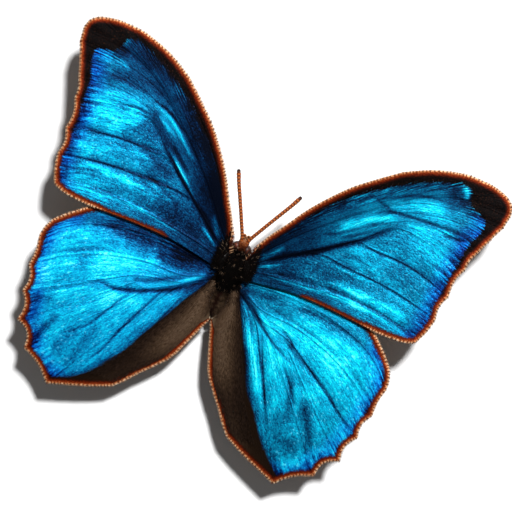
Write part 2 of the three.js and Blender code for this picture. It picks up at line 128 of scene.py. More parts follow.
# %% A curve through points
def smooth_path(points, count):
    """`count` evenly spaced points on a smooth curve through the given ones."""
    points = np.asarray(points, float)
    ends = np.vstack([2 * points[0] - points[1], points, 2 * points[-1] - points[-2]])
    fine = []
    for a, b, c, d in zip(ends, ends[1:], ends[2:], ends[3:]):
        knots = np.cumsum([0, *(np.linalg.norm(q - p) ** 0.5 for p, q in ((a, b), (b, c), (c, d)))])
        t = np.linspace(knots[1], knots[2], 24, endpoint=False)[:, None]

        def blend(p, q, i, j):
            return ((knots[j] - t) * p + (t - knots[i]) * q) / (knots[j] - knots[i])

        ab, bc, cd = blend(a, b, 0, 1), blend(b, c, 1, 2), blend(c, d, 2, 3)
        fine.append(blend(blend(ab, bc, 0, 2), blend(bc, cd, 1, 3), 1, 2))
    fine = np.vstack([*fine, points[-1:]])
    run = np.concatenate([[0], np.cumsum(np.linalg.norm(np.diff(fine, axis=0), axis=1))])
    even = np.linspace(0, run[-1], count)
    return np.stack([np.interp(even, run, fine[:, k]) for k in range(points.shape[1])], 1)


def distance_to(points, line):
    """Each plan point's distance from a line, its side (left is positive) and its share along (0 to 1)."""
    best = np.full(len(points), 1e9)
    side = np.ones(len(points))
    along = np.zeros(len(points))
    for number, (a, b) in enumerate(zip(line, line[1:])):
        step = b - a
        t = np.clip(((points - a) @ step) / (step @ step), 0, 1)[:, None]
        gap = points - (a + t * step)
        away = np.hypot(gap[:, 0], gap[:, 1])
        nearer = away < best - 1e-9
        best[nearer] = away[nearer]
        side[nearer] = np.sign(step[0] * gap[nearer, 1] - step[1] * gap[nearer, 0])
        along[nearer] = (number + t[nearer, 0]) / (len(line) - 1)
    return best, side, along


def run_along(line):
    """The length covered at each point of a plan line."""
    return np.concatenate([[0], np.cumsum(np.hypot(*np.diff(line, axis=0).T))])


# %% [markdown]
# ## The wings' plan
#
# A butterfly's wing is a dry film held open by hollow veins that run from the root to the edge.
# The mesh follows them: each ray below is one vein, or one edge, from the root to its end on the
# margin. Veins that share a stem lie close together there and part where the real ones branch.
# The number after a ray says where its raised vein starts (0 at the root, 1 at the margin; 2 is none),
# and the last one how far the edge bows in between this vein's end and the next.

# %% Rays of the forewing
FORE_RAYS = [
    ("costa", [(2.4, 0.6), (3.7, 3.2), (4.2, 6.6), (5.9, 10.3), (9.1, 15.3), (13.2, 22.1), (17.9, 28.4),
               (23.0, 34.2), (28.9, 39.4), (34.9, 44.3)], 0.0, -0.1),
    ("subcosta", [(2.4, 0.55), (4.0, 3.3), (5.7, 7.2), (12.2, 17.8), (20.2, 28.2), (30.0, 37.6),
                  (42.0, 48.1)], 0.0, -0.15),
    ("radius 1", [(2.4, 0.5), (7.4, 8.3), (15.3, 17.5), (24.0, 26.2), (33.5, 35.6), (42.0, 43.6),
                  (49.6, 50.6)], 0.52, -0.3),
    ("radius 2", [(2.4, 0.46), (7.6, 8.0), (15.6, 17.1), (24.3, 25.6), (33.4, 34.0), (44.0, 41.9),
                  (57.1, 51.5)], 0.6, -0.5),
    ("radius 4", [(2.4, 0.42), (7.8, 7.8), (15.8, 16.8), (24.5, 25.3), (33.3, 33.0), (43.5, 40.2),
                  (54.5, 45.6), (66.4, 50.0)], 0.66, -0.9),
    ("radius", [(2.4, 0.38), (8.0, 7.6), (16.0, 16.6), (24.6, 25.0), (33.2, 32.4), (42.6, 39.2),
                (54.0, 44.0), (69.6, 45.0)], 0.0, 0.05),
    ("radius 5", [(2.4, 0.3), (8.3, 7.3), (16.3, 16.3), (24.9, 24.7), (33.5, 32.0), (38.0, 35.3),
                  (45.3, 38.6), (57.0, 40.8), (69.0, 41.0)], 0.6, 0.1),
    ("media 1", [(2.4, 0.1), (9.0, 6.6), (17.4, 14.6), (26.4, 22.4), (33.0, 28.4), (37.2, 32.0),
                 (46.0, 35.6), (56.0, 37.2), (67.0, 36.2)], 0.56, 0.1),
    ("media 2", [(2.4, -0.2), (9.0, 5.4), (17.6, 12.4), (26.8, 19.6), (34.0, 26.0), (39.6, 30.4),
                 (48.0, 32.6), (57.0, 32.6), (65.0, 31.0)], 0.6, 0.5),
    ("media 3", [(2.4, -0.6), (7.0, 2.8), (15.3, 8.9), (25.5, 16.2), (31.5, 20.7), (39.9, 28.2),
                 (50.0, 28.0), (63.6, 25.0)], 0.0, 0.9),
    ("cubitus 1", [(2.4, -0.7), (7.3, 2.5), (15.6, 8.5), (25.8, 15.8), (31.5, 19.9), (36.0, 19.6),
                   (44.0, 19.6), (54.6, 18.0), (62.4, 15.6)], 0.51, 0.9),
    ("cubitus 2", [(2.4, -0.8), (7.6, 2.2), (14.5, 7.3), (19.9, 11.2), (24.0, 12.0), (30.0, 11.6),
                   (47.7, 10.6), (61.6, 7.9)], 0.34, -0.3),
    ("anal", [(2.4, -2.0), (12.6, 0.2), (29.1, 2.3), (44.0, 2.6), (59.4, 0.3)], 0.0, -0.25),
    ("rear edge", [(2.4, -4.4), (8.0, -3.8), (20.0, -2.1), (30.0, -1.9), (40.0, -2.3), (47.0, -2.7),
                   (52.0, -2.5), (55.6, -2.1), (58.0, -1.3)], 2.0, 0.0),
]
FORE_CROSS = [[(39.9, 28.2), (39.6, 30.4), (37.2, 32.0), (33.2, 32.4)]]
print("rays of the forewing:", len(FORE_RAYS))

# %% Rays of the hindwing
HIND_RAYS = [
    ("front edge", [(2.4, -5.6), (5.2, -3.6), (12.0, 0.2), (22.0, 2.4), (33.0, 2.2), (41.0, 0.0),
                    (46.8, -3.3), (50.2, -6.2)], 2.0, -0.1),
    ("front field", [(2.4, -5.9), (7.4, -4.0), (16.0, -1.7), (27.5, -0.9), (37.6, -1.6), (46.0, -4.9),
                     (54.9, -10.8)], 2.0, -0.5),
    ("subcosta", [(2.4, -6.2), (10.0, -4.4), (22.0, -3.6), (33.6, -4.6), (45.0, -8.0), (52.0, -12.4),
                  (56.8, -17.2)], 0.0, 0.5),
    ("radial", [(2.4, -6.5), (7.6, -8.4), (13.2, -10.6), (24.0, -11.2), (36.0, -14.0), (47.0, -19.2),
                (56.1, -26.2)], 0.1, 1.15),
    ("media 2", [(2.4, -6.8), (7.6, -9.2), (13.2, -12.9), (24.9, -15.9), (34.8, -21.6), (45.3, -28.4),
                 (54.8, -34.0)], 0.2, 1.45),
    ("media 3", [(2.4, -6.9), (7.6, -9.5), (13.2, -13.3), (18.5, -15.8), (24.9, -18.2), (32.0, -24.6),
                 (42.0, -33.6), (52.8, -42.6)], 0.42, 1.9),
    ("cubitus 1", [(2.4, -7.0), (7.4, -9.8), (13.0, -13.8), (20.7, -18.9), (28.0, -27.4), (37.6, -38.4),
                   (47.6, -49.8)], 0.0, 1.0),
    ("cubitus 2", [(2.4, -7.2), (7.2, -10.2), (12.9, -14.6), (20.7, -27.9), (28.8, -41.4),
                   (37.4, -57.0)], 0.18, 0.0),
    ("anal", [(2.4, -7.6), (8.1, -15.9), (14.6, -29.0), (20.4, -41.4), (27.2, -53.4)], 0.0, -0.1),
    ("inner edge", [(2.0, -9.0), (2.8, -12.0), (2.55, -14.4), (1.4, -17.0), (0.35, -19.7), (1.25, -22.4),
                    (2.45, -25.6), (4.1, -29.9), (6.3, -34.9), (9.7, -39.2), (13.0, -42.9), (16.1, -46.8),
                    (19.0, -49.9)], 2.0, 0.0),
]
HIND_CROSS = [[(24.9, -15.9), (24.9, -18.2), (20.7, -18.9)], [(13.2, -10.6), (13.2, -12.9)]]
print("rays of the hindwing:", len(HIND_RAYS))

# %% [markdown]
# The film is far thinner than the solids that stand in for it, so it lies in the middle of them.
# The sheet rises gently outwards, arches a little, droops to the rear, and the hindwing's inner part
# dips beside the abdomen. Between two veins the film swells up or hangs by a fraction of a millimetre,
# which is what breaks the light on a real wing into bands.

# %% The wings' height
HALF_SPAN = 69.6
ROOT_HEIGHT = 11.6
HIND_BELOW_FORE = 1.35
RISE = math.tan(math.radians(5.5))
ARCH = 1.4
DROOP = 3.0
DROOP_STARTS = -10
DROOP_LENGTH = 47
FOLD_DEPTH = 1.7
FOLD_REACH = 9
FOLD_STARTS = -9
FOLD_ENDS = -34


def smoothstep(value, low, high):
    """0 below low, 1 above high, and an even step between."""
    t = np.clip((value - low) / (high - low), 0, 1)
    return t * t * (3 - 2 * t)


def sheet_height(x, y):
    """Height of the forewing's sheet, before veins and pleats."""
    rise = RISE * x + ARCH * np.sin(np.pi * x / HALF_SPAN)
    return ROOT_HEIGHT + rise - DROOP * np.maximum(0, (DROOP_STARTS - y) / DROOP_LENGTH) ** 2


def inner_fold(x, y):
    """How far the hindwing dips beside the abdomen."""
    lean = np.maximum(0, 1 - x / FOLD_REACH)
    return FOLD_DEPTH * lean ** 2 * smoothstep(FOLD_STARTS - y, 0, 6) * smoothstep(y - FOLD_ENDS, 0, 12)


print("sheet height at root and tip, mm:", ROOT_HEIGHT, round(float(sheet_height(HALF_SPAN, 0)), 1))

# %% Lay a grid along the rays
# Shares of the way from one vein to the next, closer together beside a vein, where its rib needs them.
CELL_STEPS = [0, 0.022, 0.05, 0.09, 0.145, 0.21, 0.285, 0.36, 0.435, 0.51, 0.585, 0.66, 0.735, 0.805, 0.87,
              0.925, 0.967]
ROWS = 136


def wing_plan(rays, cross):
    """Plan points of a wing, row by row from root to margin, with what its materials need to know."""
    lines = [smooth_path(points, ROWS + 1) for _, points, _, _ in rays]
    outward = np.linspace(0, 1, ROWS + 1)[:, None]
    columns, cell_of = [], []
    for number, (near, far) in enumerate(zip(lines, lines[1:])):
        chord = far[-1] - near[-1]
        inward = np.array([chord[1], -chord[0]]) / np.linalg.norm(chord)
        for share in CELL_STEPS:
            bow = rays[number][3] * math.sin(math.pi * share) * inward
            columns.append(near + (far - near) * share + bow * outward ** 7)
            cell_of.append((number, share))
    columns.append(lines[-1])
    cell_of.append((len(lines) - 2, 1.0))
    plan = np.stack(columns)
    veins = [line[int(start * ROWS):] for line, (_, _, start, _) in zip(lines, rays) if start < 1]
    veins += [smooth_path(points, 30) for points in cross]
    return plan, cell_of, veins


fore_plan, fore_cells, fore_veins = wing_plan(FORE_RAYS, FORE_CROSS)
hind_plan, hind_cells, hind_veins = wing_plan(HIND_RAYS, HIND_CROSS)
print("forewing grid", fore_plan.shape[:2], "hindwing grid", hind_plan.shape[:2])

# %% [markdown]
# ## What the wing's colours follow
#
# A morpho's blue is no pigment. Ridges on each scale, a few hundred nanometres apart, send back blue
# light, so the wing looks like brushed blue metal. The border, the tip and the fold beside the body
# carry plain dark brown scales. The mesh stores a few fields at each vertex, and the material reads
# them: the distance from the edge, from the nearest vein and from each zone's boundary.

# %% Zones of the wings
BORDER_PATH = [(4.8, 2.0), (7.6, 9.8), (14.5, 20.3), (22.4, 29.5), (32.8, 38.2), (41.7, 43.7),
               (48.8, 46.8), (53.2, 48.2), (55.9, 47.4), (56.6, 45.2), (58.2, 42.6), (63.2, 40.6),
               (63.0, 36.0), (61.6, 32.6), (60.9, 26.0), (60.2, 20.0), (60.0, 14.0), (59.9, 8.0),
               (59.0, 2.6), (57.6, -0.2)]
HIND_BORDER_PATH = [(50.6, -7.6), (53.6, -11.0), (54.9, -15.6), (54.7, -22.0), (53.9, -27.4),
                    (52.8, -33.4), (50.8, -38.4), (50.6, -42.4), (46.6, -46.4), (45.0, -50.4),
                    (41.0, -53.0), (37.0, -54.6)]
OUTER_PATHS = {"fore": BORDER_PATH[11:], "hind": HIND_BORDER_PATH}
FOLD_PATHS = {
    "right": [(4.8, -7.4), (5.4, -9.0), (7.4, -13.0), (9.4, -16.6), (11.6, -20.6), (14.0, -25.0),
              (16.4, -30.0), (19.2, -35.0), (23.8, -40.0), (27.4, -45.0), (31.8, -49.6), (36.8, -54.0)],
    "left": [(4.6, -7.4), (5.4, -9.6), (7.4, -13.4), (9.6, -17.4), (11.6, -21.0), (13.8, -25.6),
             (16.0, -30.0), (18.8, -36.2), (22.0, -42.0), (26.0, -47.4), (31.6, -52.2), (36.4, -54.6)],
}
HINGES = {"fore": (3.0, -0.5), "hind": (3.0, -7.0)}

# Eyespots of the underside: place and radius. Pale bands of the underside: their lines.
EYESPOTS = {
    "fore": [((54.6, 38.8), 1.5), ((53.6, 30.2), 2.1), ((52.2, 21.8), 2.0)],
    "hind": [((43.4, -5.8), 2.9), ((44.8, -25.4), 1.5), ((40.0, -32.4), 2.3), ((33.2, -40.4), 2.0)],
}
PALE_BANDS = {
    "fore": [[(34.2, 42.6), (41.6, 35.0), (44.6, 25.0), (43.8, 12.0), (41.6, -1.6)],
             [(20.6, 29.6), (24.0, 24.6), (26.0, 18.4)], [(27.4, 36.4), (31.6, 31.0), (33.6, 25.0)]],
    "hind": [[(28.6, 1.6), (31.4, -9.0), (30.8, -20.0), (27.0, -30.0), (21.0, -38.6)],
             [(15.0, 0.6), (16.6, -8.0), (15.4, -17.0)]],
}


# %% Work out the fields
def uneven(run):
    """A length along the edge, stretched and squeezed a little, so that no rhythm on it is exact."""
    return run + 0.34 * np.sin(run / 1.9) + 0.12 * np.sin(2.7 * run)


def wing_edge(plan):
    """A wing's edge, from its root round the margin and back, and the length covered along it."""
    edge = np.vstack([plan[0], plan[1:, -1], plan[-1][-2::-1]])
    return edge, run_along(edge)


def rust_hidden(x, y, hind):
    """Millimetres that the rust margin is moved out by, where body or wings lie against the edge."""
    if hind:
        return 3 * smoothstep(y + 1.1 * (x - 0.4), -19.8, -18.6) * (x < 14)
    return (3 * smoothstep(-x, -24, -17) + 0.62 * smoothstep(-x, -45, -40)) * smoothstep(-y, -6, 0)


def wing_fields(plan, veins, hind, side):
    """One value per plan point for each field the wing materials read, all in millimetres."""
    pair = "hind" if hind else "fore"
    flat = plan.reshape(-1, 2)
    edge, run = wing_edge(plan)
    vein = np.full(len(flat), 1e9)
    for line in veins:
        vein = np.minimum(vein, distance_to(flat, line)[0])
    away, beyond, _ = distance_to(flat, smooth_path(HIND_BORDER_PATH if hind else BORDER_PATH, 160))
    rim, _, along_edge = distance_to(flat, edge)
    fields = {
        "rim": rim + rust_hidden(*flat.T, hind),
        "edge_run": uneven(np.interp(along_edge * (len(edge) - 1), np.arange(len(edge)), run)),
        "outer": distance_to(flat, smooth_path(OUTER_PATHS[pair], 120))[0],
        "vein": vein,
        "border": -away * beyond,
        "root": np.hypot(*(flat - HINGES[pair]).T),
    }
    away, beyond, _ = distance_to(flat, smooth_path(FOLD_PATHS[side], 120))
    fields["fold"] = -away * beyond if hind else np.full(len(flat), -50.0)
    spots = [np.hypot(*(flat - centre).T) / radius for centre, radius in EYESPOTS[pair]]
    fields["eyespot"] = np.min(spots, axis=0)
    bands = [distance_to(flat, smooth_path(line, 40))[0] for line in PALE_BANDS[pair]]
    fields["band"] = np.min(bands, axis=0)
    return fields


fore_fields = {side: wing_fields(fore_plan, fore_veins, False, side) for side, _ in SIDES}
hind_fields = {side: wing_fields(hind_plan, hind_veins, True, side) for side, _ in SIDES}
for name, values in hind_fields["right"].items():
    print(name, values.min().round(1), values.max().round(1))

# %% [markdown]
# ## Pleats and their painted light and shade
#
# A spread wing is never flat. Fine pleats run along the veins, the cell's rear vein sits in a crease,
# and whole bays tilt a little towards or away from the light. A structural colour answers each tilt with
# a jump from navy to cyan, and here that jump is painted into the colour. So every pleat is listed once as
# a stroke (its line, half width in millimetres and strength), and it then does two jobs: it moves the film
# up or down, and it paints light and shade into the colour, a painted highlight above zero and painted
# shade below it. A few dark strokes are the forewing's painted shadow on the hindwing. The two sides of a
# living insect are never alike, and the light fell differently on each, so each wing has its own list.

# %% Strokes of the right forewing
RIGHT_FORE_STROKES = [
    ([(24.2, 21.7), (28.0, 24.7), (32.0, 27.5), (36.0, 29.7), (39.4, 31.0)], 0.7, 0.5),
    ([(23.0, 19.2), (28.0, 23.0), (33.0, 26.2)], 0.45, 0.3),
    ([(34.0, 33.6), (40.0, 35.4), (47.0, 36.6), (55.0, 37.2)], 1.6, 0.2),
    ([(40.5, 36.6), (46.0, 37.9), (51.5, 38.6)], 1.2, 0.26),
    ([(42.0, 31.0), (49.0, 29.8), (57.0, 28.2)], 2.2, 0.26),
    ([(47.0, 26.4), (53.0, 25.4), (59.0, 24.4)], 1.5, 0.16),
    ([(50.0, 22.8), (55.0, 20.8), (59.6, 18.6)], 1.0, 0.24),
    ([(36.0, 21.0), (44.0, 22.0)], 3.2, 0.1),
    ([(30.0, 12.6), (42.0, 13.6)], 3.2, 0.12),
    ([(19.4, 3.8), (26.0, 4.2), (30.0, 5.0), (34.0, 5.6), (42.0, 6.0), (47.0, 5.4), (51.0, 4.6), (58.0, 3.4)],
     0.7, 0.4),
    ([(34.0, 5.0), (42.0, 4.4), (46.0, 3.6), (52.0, 3.2)], 0.9, 0.35),
    ([(11.6, -0.2), (22.0, 1.0), (33.6, 2.3), (44.4, 1.8), (52.0, 1.2)], 0.5, 0.45),
    ([(36.0, 2.1), (42.0, 2.2)], 0.55, 0.25),
    ([(28.5, 16.9), (34.0, 18.1), (39.0, 18.4), (45.0, 18.3)], 0.3, 0.15),
    ([(27.4, 15.5), (33.0, 16.8), (38.0, 17.3), (43.0, 17.2)], 0.26, 0.16),
    ([(25.0, 9.4), (30.0, 10.2), (37.0, 10.2)], 0.3, 0.2),
    ([(23.6, 7.4), (29.0, 8.6), (34.0, 9.0)], 0.28, 0.16),
    ([(6.4, 0.7), (8.6, 1.8), (10.8, 2.9), (13.0, 4.2)], 0.3, 0.4),
    ([(7.0, 3.4), (9.0, 6.0), (11.8, 9.8)], 0.7, 0.38),
    ([(8.4, 6.4), (12.4, 11.4), (16.6, 15.8)], 0.6, 0.12),
    ([(38.4, 43.2), (41.6, 45.2)], 0.5, 0.18),
    ([(53.2, 48.4), (54.4, 47.0), (55.4, 45.6), (55.8, 44.4)], 0.6, 0.7),
    ([(50.4, 46.6), (52.4, 43.8), (55.6, 41.4)], 1.8, -0.5),
    ([(57.2, 46.6), (57.8, 44.4)], 1.2, -0.7),
    ([(7.6, 3.4), (14.0, 7.8), (21.0, 12.2), (27.0, 17.0), (32.6, 21.3), (36.0, 24.6), (39.2, 27.7)],
     0.62, -0.62),
    ([(26.0, 18.6), (30.0, 21.6), (34.0, 24.6)], 0.34, -0.3),
    ([(21.0, 17.6), (25.6, 20.6), (30.0, 24.0), (36.0, 28.2)], 0.34, -0.3),
    ([(32.6, 29.8), (36.0, 31.8), (39.4, 32.6), (48.0, 33.5), (55.0, 34.0), (61.6, 34.4)], 0.42, -0.44),
    ([(52.8, 32.0), (56.6, 32.2), (60.8, 33.0)], 0.36, -0.36),
    ([(30.8, 33.7), (36.0, 36.4), (42.0, 39.7), (47.0, 41.0), (53.0, 41.8)], 0.42, -0.3),
    ([(30.6, 33.9), (34.6, 33.0), (38.0, 32.2)], 0.3, -0.26),
    ([(49.6, 23.0), (54.0, 20.4), (59.6, 17.4)], 0.9, -0.24),
    ([(33.4, 19.4), (40.0, 19.3), (47.0, 19.4), (54.0, 18.0), (60.2, 16.2)], 0.26, -0.34),
    ([(22.8, 11.9), (32.0, 11.4), (42.0, 11.0), (58.8, 8.6)], 0.26, -0.3),
    ([(12.0, 1.4), (22.0, 3.2), (33.6, 4.6), (40.0, 4.2)], 0.36, -0.2),
    ([(27.0, 3.5), (38.0, 3.4), (45.6, 3.0), (57.4, 0.8)], 0.34, -0.34),
    # The next two broad dark strokes are painted shade over the front half of this wing.
    ([(6.0, 6.0), (11.0, 13.4), (19.0, 23.6), (28.6, 33.0)], 3.0, -0.2),
    ([(8.0, 4.6), (16.0, 13.4), (24.0, 22.0)], 2.6, -0.14),
    ([(33.6, 38.0), (41.0, 41.6), (50.0, 45.0)], 1.3, -0.1),
    ([(56.0, 21.4), (60.0, 20.0)], 0.8, 0.2),
    ([(50.0, 33.4), (57.0, 33.0)], 0.7, 0.2),
    ([(56.0, 36.0), (62.0, 34.0)], 1.5, -0.15),
    ([(22.0, 8.0), (30.0, 8.6), (38.0, 8.6)], 1.0, -0.2),
]
print("strokes of the right forewing:", len(RIGHT_FORE_STROKES))

# %% Strokes of the left forewing
LEFT_FORE_STROKES = [
    ([(41.2, 33.2), (38.4, 32.2), (34.0, 30.0), (30.0, 27.2), (26.6, 24.4), (23.4, 22.0)], 0.5, 0.5),
    ([(39.0, 30.6), (35.0, 28.2), (31.0, 26.0)], 0.45, 0.35),
    ([(33.4, 23.2), (29.6, 20.6), (25.8, 17.6), (20.0, 12.8), (15.0, 9.0)], 0.3, 0.62),
    ([(60.0, 27.6), (53.0, 28.0), (47.0, 26.6), (43.0, 25.0)], 3.0, 0.3),
    ([(47.4, 28.2), (45.0, 26.8), (42.6, 25.4)], 1.6, 0.26),
    ([(59.4, 22.6), (53.0, 22.4), (46.0, 21.4)], 2.6, 0.34),
    ([(59.0, 12.8), (52.0, 13.8), (45.0, 14.2), (38.0, 14.8)], 2.0, 0.18),
    ([(42.0, 17.6), (38.0, 17.4), (34.0, 16.0)], 0.6, 0.26),
    ([(57.8, 11.6), (52.0, 11.4)], 1.8, 0.35),
    ([(57.4, 5.2), (52.0, 7.4), (44.0, 8.4), (36.0, 8.2), (29.0, 6.6)], 0.85, 0.42),
    ([(56.6, 3.2), (50.0, 4.2), (43.0, 4.0)], 1.5, 0.34),
    ([(56.0, 0.6), (48.0, 0.8), (42.0, 0.5)], 1.2, 0.32),
    ([(44.0, 1.9), (36.0, 2.4), (27.0, 1.7), (19.0, 0.4)], 0.34, 0.34),
    ([(33.0, 11.0), (28.0, 9.4), (24.0, 8.0)], 0.36, 0.2),
    ([(31.6, 12.6), (26.6, 10.6), (22.6, 9.2)], 0.3, 0.18),
    ([(13.6, 5.3), (12.0, 4.2), (9.6, 2.6), (7.2, 0.9)], 0.3, 0.45),
    ([(11.8, 9.8), (9.9, 7.2), (7.4, 3.8)], 0.6, 0.38),
    ([(61.6, 40.0), (57.0, 39.4), (53.0, 38.2)], 1.3, 0.14),
    ([(58.0, 41.0), (54.6, 40.2), (51.6, 38.6)], 0.4, 0.3),
    ([(55.8, 48.2), (56.4, 46.4), (58.2, 44.6)], 0.7, 0.34),
    ([(34.0, 23.6), (30.0, 20.4), (26.4, 17.0), (21.0, 13.2), (14.0, 8.0), (8.0, 2.8)], 0.46, -0.66),
    ([(31.4, 24.0), (27.6, 21.0), (23.0, 17.4)], 0.4, -0.4),
    ([(41.0, 30.8), (37.8, 28.0), (34.2, 24.9), (28.0, 19.6)], 1.1, -0.36),
    ([(41.6, 33.8), (37.0, 32.8), (33.6, 31.2), (29.6, 28.6)], 0.28, -0.4),
    ([(60.6, 18.2), (54.0, 18.2), (46.2, 19.4), (38.0, 20.0), (33.0, 20.6)], 0.34, -0.42),
    ([(59.4, 8.2), (52.0, 9.8), (45.6, 10.8), (37.0, 11.6), (28.0, 12.0), (20.4, 11.2)], 0.32, -0.42),
    ([(51.6, 28.4), (46.0, 29.6), (40.8, 29.6)], 0.26, -0.34),
    ([(62.0, 34.8), (56.0, 35.6), (50.0, 35.4), (44.0, 34.8)], 0.45, -0.24),
    ([(57.8, 4.6), (53.0, 6.4), (48.0, 7.6)], 0.3, -0.46),
    ([(56.6, 3.4), (52.4, 5.2), (49.0, 6.0)], 0.22, -0.34),
    ([(58.0, 2.0), (50.0, 2.9), (42.0, 3.2)], 0.26, -0.26),
    ([(36.0, 13.8), (29.0, 11.0), (22.0, 7.4)], 0.6, -0.22),
    # The next three broad dark strokes are painted shade over the front half of this wing.
    ([(4.6, 7.0), (10.0, 16.0), (18.0, 26.8), (27.0, 35.6), (36.0, 41.0)], 3.4, -0.42),
    ([(8.0, 6.6), (15.0, 14.4), (23.0, 23.2), (30.0, 31.0), (38.0, 36.0)], 2.9, -0.4),
    ([(36.0, 42.4), (46.0, 43.8), (54.0, 43.6), (59.0, 41.8)], 3.0, -0.44),
    ([(36.0, 34.6), (42.0, 37.6), (50.0, 37.4), (57.0, 36.4)], 1.9, -0.34),
    ([(60.0, 33.0), (54.0, 32.6), (48.0, 31.6)], 1.4, -0.16),
    ([(60.6, 24.0), (60.0, 15.0)], 1.0, -0.2),
    ([(26.0, 14.4), (33.0, 16.8), (40.0, 18.6)], 1.3, -0.26),
    ([(12.0, 1.4), (20.0, 4.0), (30.0, 5.2)], 2.2, -0.24),
    ([(43.0, 31.0), (50.0, 31.4), (56.0, 31.0)], 1.2, 0.15),
    ([(54.0, 20.4), (59.6, 18.8)], 1.2, 0.2),
    ([(36.0, 24.0), (41.0, 26.0), (44.0, 26.6)], 1.6, -0.2),
    ([(8.0, 9.0), (11.0, 13.0)], 1.5, 0.1),
]
print("strokes of the left forewing:", len(LEFT_FORE_STROKES))

# %% Strokes of the right hindwing
RIGHT_HIND_STROKES = [
    ([(24.0, -9.4), (33.0, -9.8), (42.0, -12.4), (51.0, -18.6)], 2.6, 0.16),
    ([(28.0, -13.6), (38.0, -17.0), (45.0, -21.6)], 2.8, 0.26),
    ([(34.0, -9.6), (44.0, -14.0)], 2.2, 0.12),
    ([(31.0, -28.0), (36.0, -33.0)], 1.8, 0.2),
    ([(12.6, -22.0), (15.0, -27.0), (18.0, -32.6), (21.2, -37.6)], 0.7, -0.4),
    ([(17.0, -18.4), (22.0, -21.8), (26.4, -24.4)], 1.7, 0.34),
    ([(22.0, -25.0), (27.0, -30.0), (30.0, -35.0)], 1.7, 0.12),
    ([(6.4, -9.6), (9.4, -13.8), (12.6, -19.0), (15.6, -25.0), (18.4, -30.6)], 0.8, 0.4),
    ([(13.4, -18.2), (16.0, -23.0), (19.0, -28.6), (23.0, -35.6)], 0.45, 0.32),
    ([(15.4, -11.6), (21.0, -13.0), (26.0, -14.8)], 0.9, 0.3),
    ([(12.0, -11.2), (16.0, -13.6), (20.4, -16.2)], 0.45, 0.32),
    ([(26.6, -21.8), (32.0, -25.4), (38.0, -29.6)], 1.2, 0.14),
    ([(36.4, -50.6), (39.6, -48.0), (43.0, -46.4)], 1.8, 0.24),
    ([(12.0, -1.4), (19.0, -1.0), (26.0, -0.6)], 0.5, 0.26),
    ([(14.0, -3.4), (22.0, -3.2)], 0.6, 0.16),
    ([(20.4, -13.4), (24.0, -15.5), (29.0, -18.6), (34.8, -21.8), (41.4, -25.6), (46.8, -29.6),
      (52.2, -33.0)], 0.42, -0.52),
    ([(22.0, -15.2), (27.0, -18.4), (32.0, -21.6)], 0.3, -0.3),
    # The next two dark strokes are the forewing's painted shadow on this hindwing, behind its rear edge.
    ([(17.0, -6.2), (24.0, -5.6), (32.0, -5.4), (42.0, -7.0), (48.6, -9.4)], 0.5, -0.24),
    ([(12.0, -4.4), (24.0, -5.0), (36.0, -5.8), (46.0, -8.4)], 1.5, -0.22),
    ([(30.0, -1.2), (40.0, -2.4), (47.6, -6.0), (52.0, -10.4)], 0.9, -0.24),
    ([(10.4, -11.0), (14.0, -14.0), (19.8, -18.0), (25.4, -20.8), (28.2, -22.0)], 0.28, -0.42),
    ([(21.0, -13.2), (25.2, -15.8), (26.4, -18.4)], 0.24, -0.3),
    ([(13.0, -8.4), (25.2, -10.3), (33.6, -12.2), (45.0, -16.4), (53.6, -22.4)], 0.24, -0.26),
    ([(14.0, -16.0), (17.0, -21.2), (22.2, -30.0), (27.0, -39.4), (30.0, -45.0)], 0.26, -0.32),
    ([(15.8, -16.6), (19.8, -25.0), (24.2, -33.2), (27.0, -38.0)], 0.22, -0.4),
    ([(25.4, -22.6), (29.4, -27.0), (34.0, -33.0)], 0.22, -0.34),
    ([(28.6, -23.2), (31.0, -29.6), (34.0, -38.6)], 1.0, -0.42),
    ([(35.2, -29.2), (38.2, -34.0), (41.2, -39.4), (43.4, -45.0)], 1.1, -0.5),
    ([(34.0, -27.4), (36.0, -33.0), (37.0, -39.0)], 1.4, -0.2),
    ([(29.6, -37.0), (34.0, -45.0), (38.0, -50.0)], 2.2, -0.25),
    ([(44.0, -36.0), (48.0, -40.4)], 2.0, -0.22),
    ([(36.0, -42.0), (41.0, -48.0)], 1.8, -0.32),
    ([(5.0, -7.2), (11.0, -6.6), (19.6, -5.6)], 0.9, -0.3),
    ([(5.4, -8.4), (10.0, -11.0), (14.8, -14.4)], 0.7, -0.4),
    ([(8.6, -11.6), (12.6, -17.0), (15.0, -21.6)], 0.3, -0.4),
    ([(16.0, -9.0), (23.0, -8.2)], 0.8, -0.2),
    ([(26.0, -31.0), (30.0, -37.0)], 1.3, 0.15),
    ([(15.0, -5.6), (24.0, -4.6)], 0.6, 0.15),
    ([(30.6, -23.6), (34.0, -28.4)], 0.8, -0.15),
]
print("strokes of the right hindwing:", len(RIGHT_HIND_STROKES))

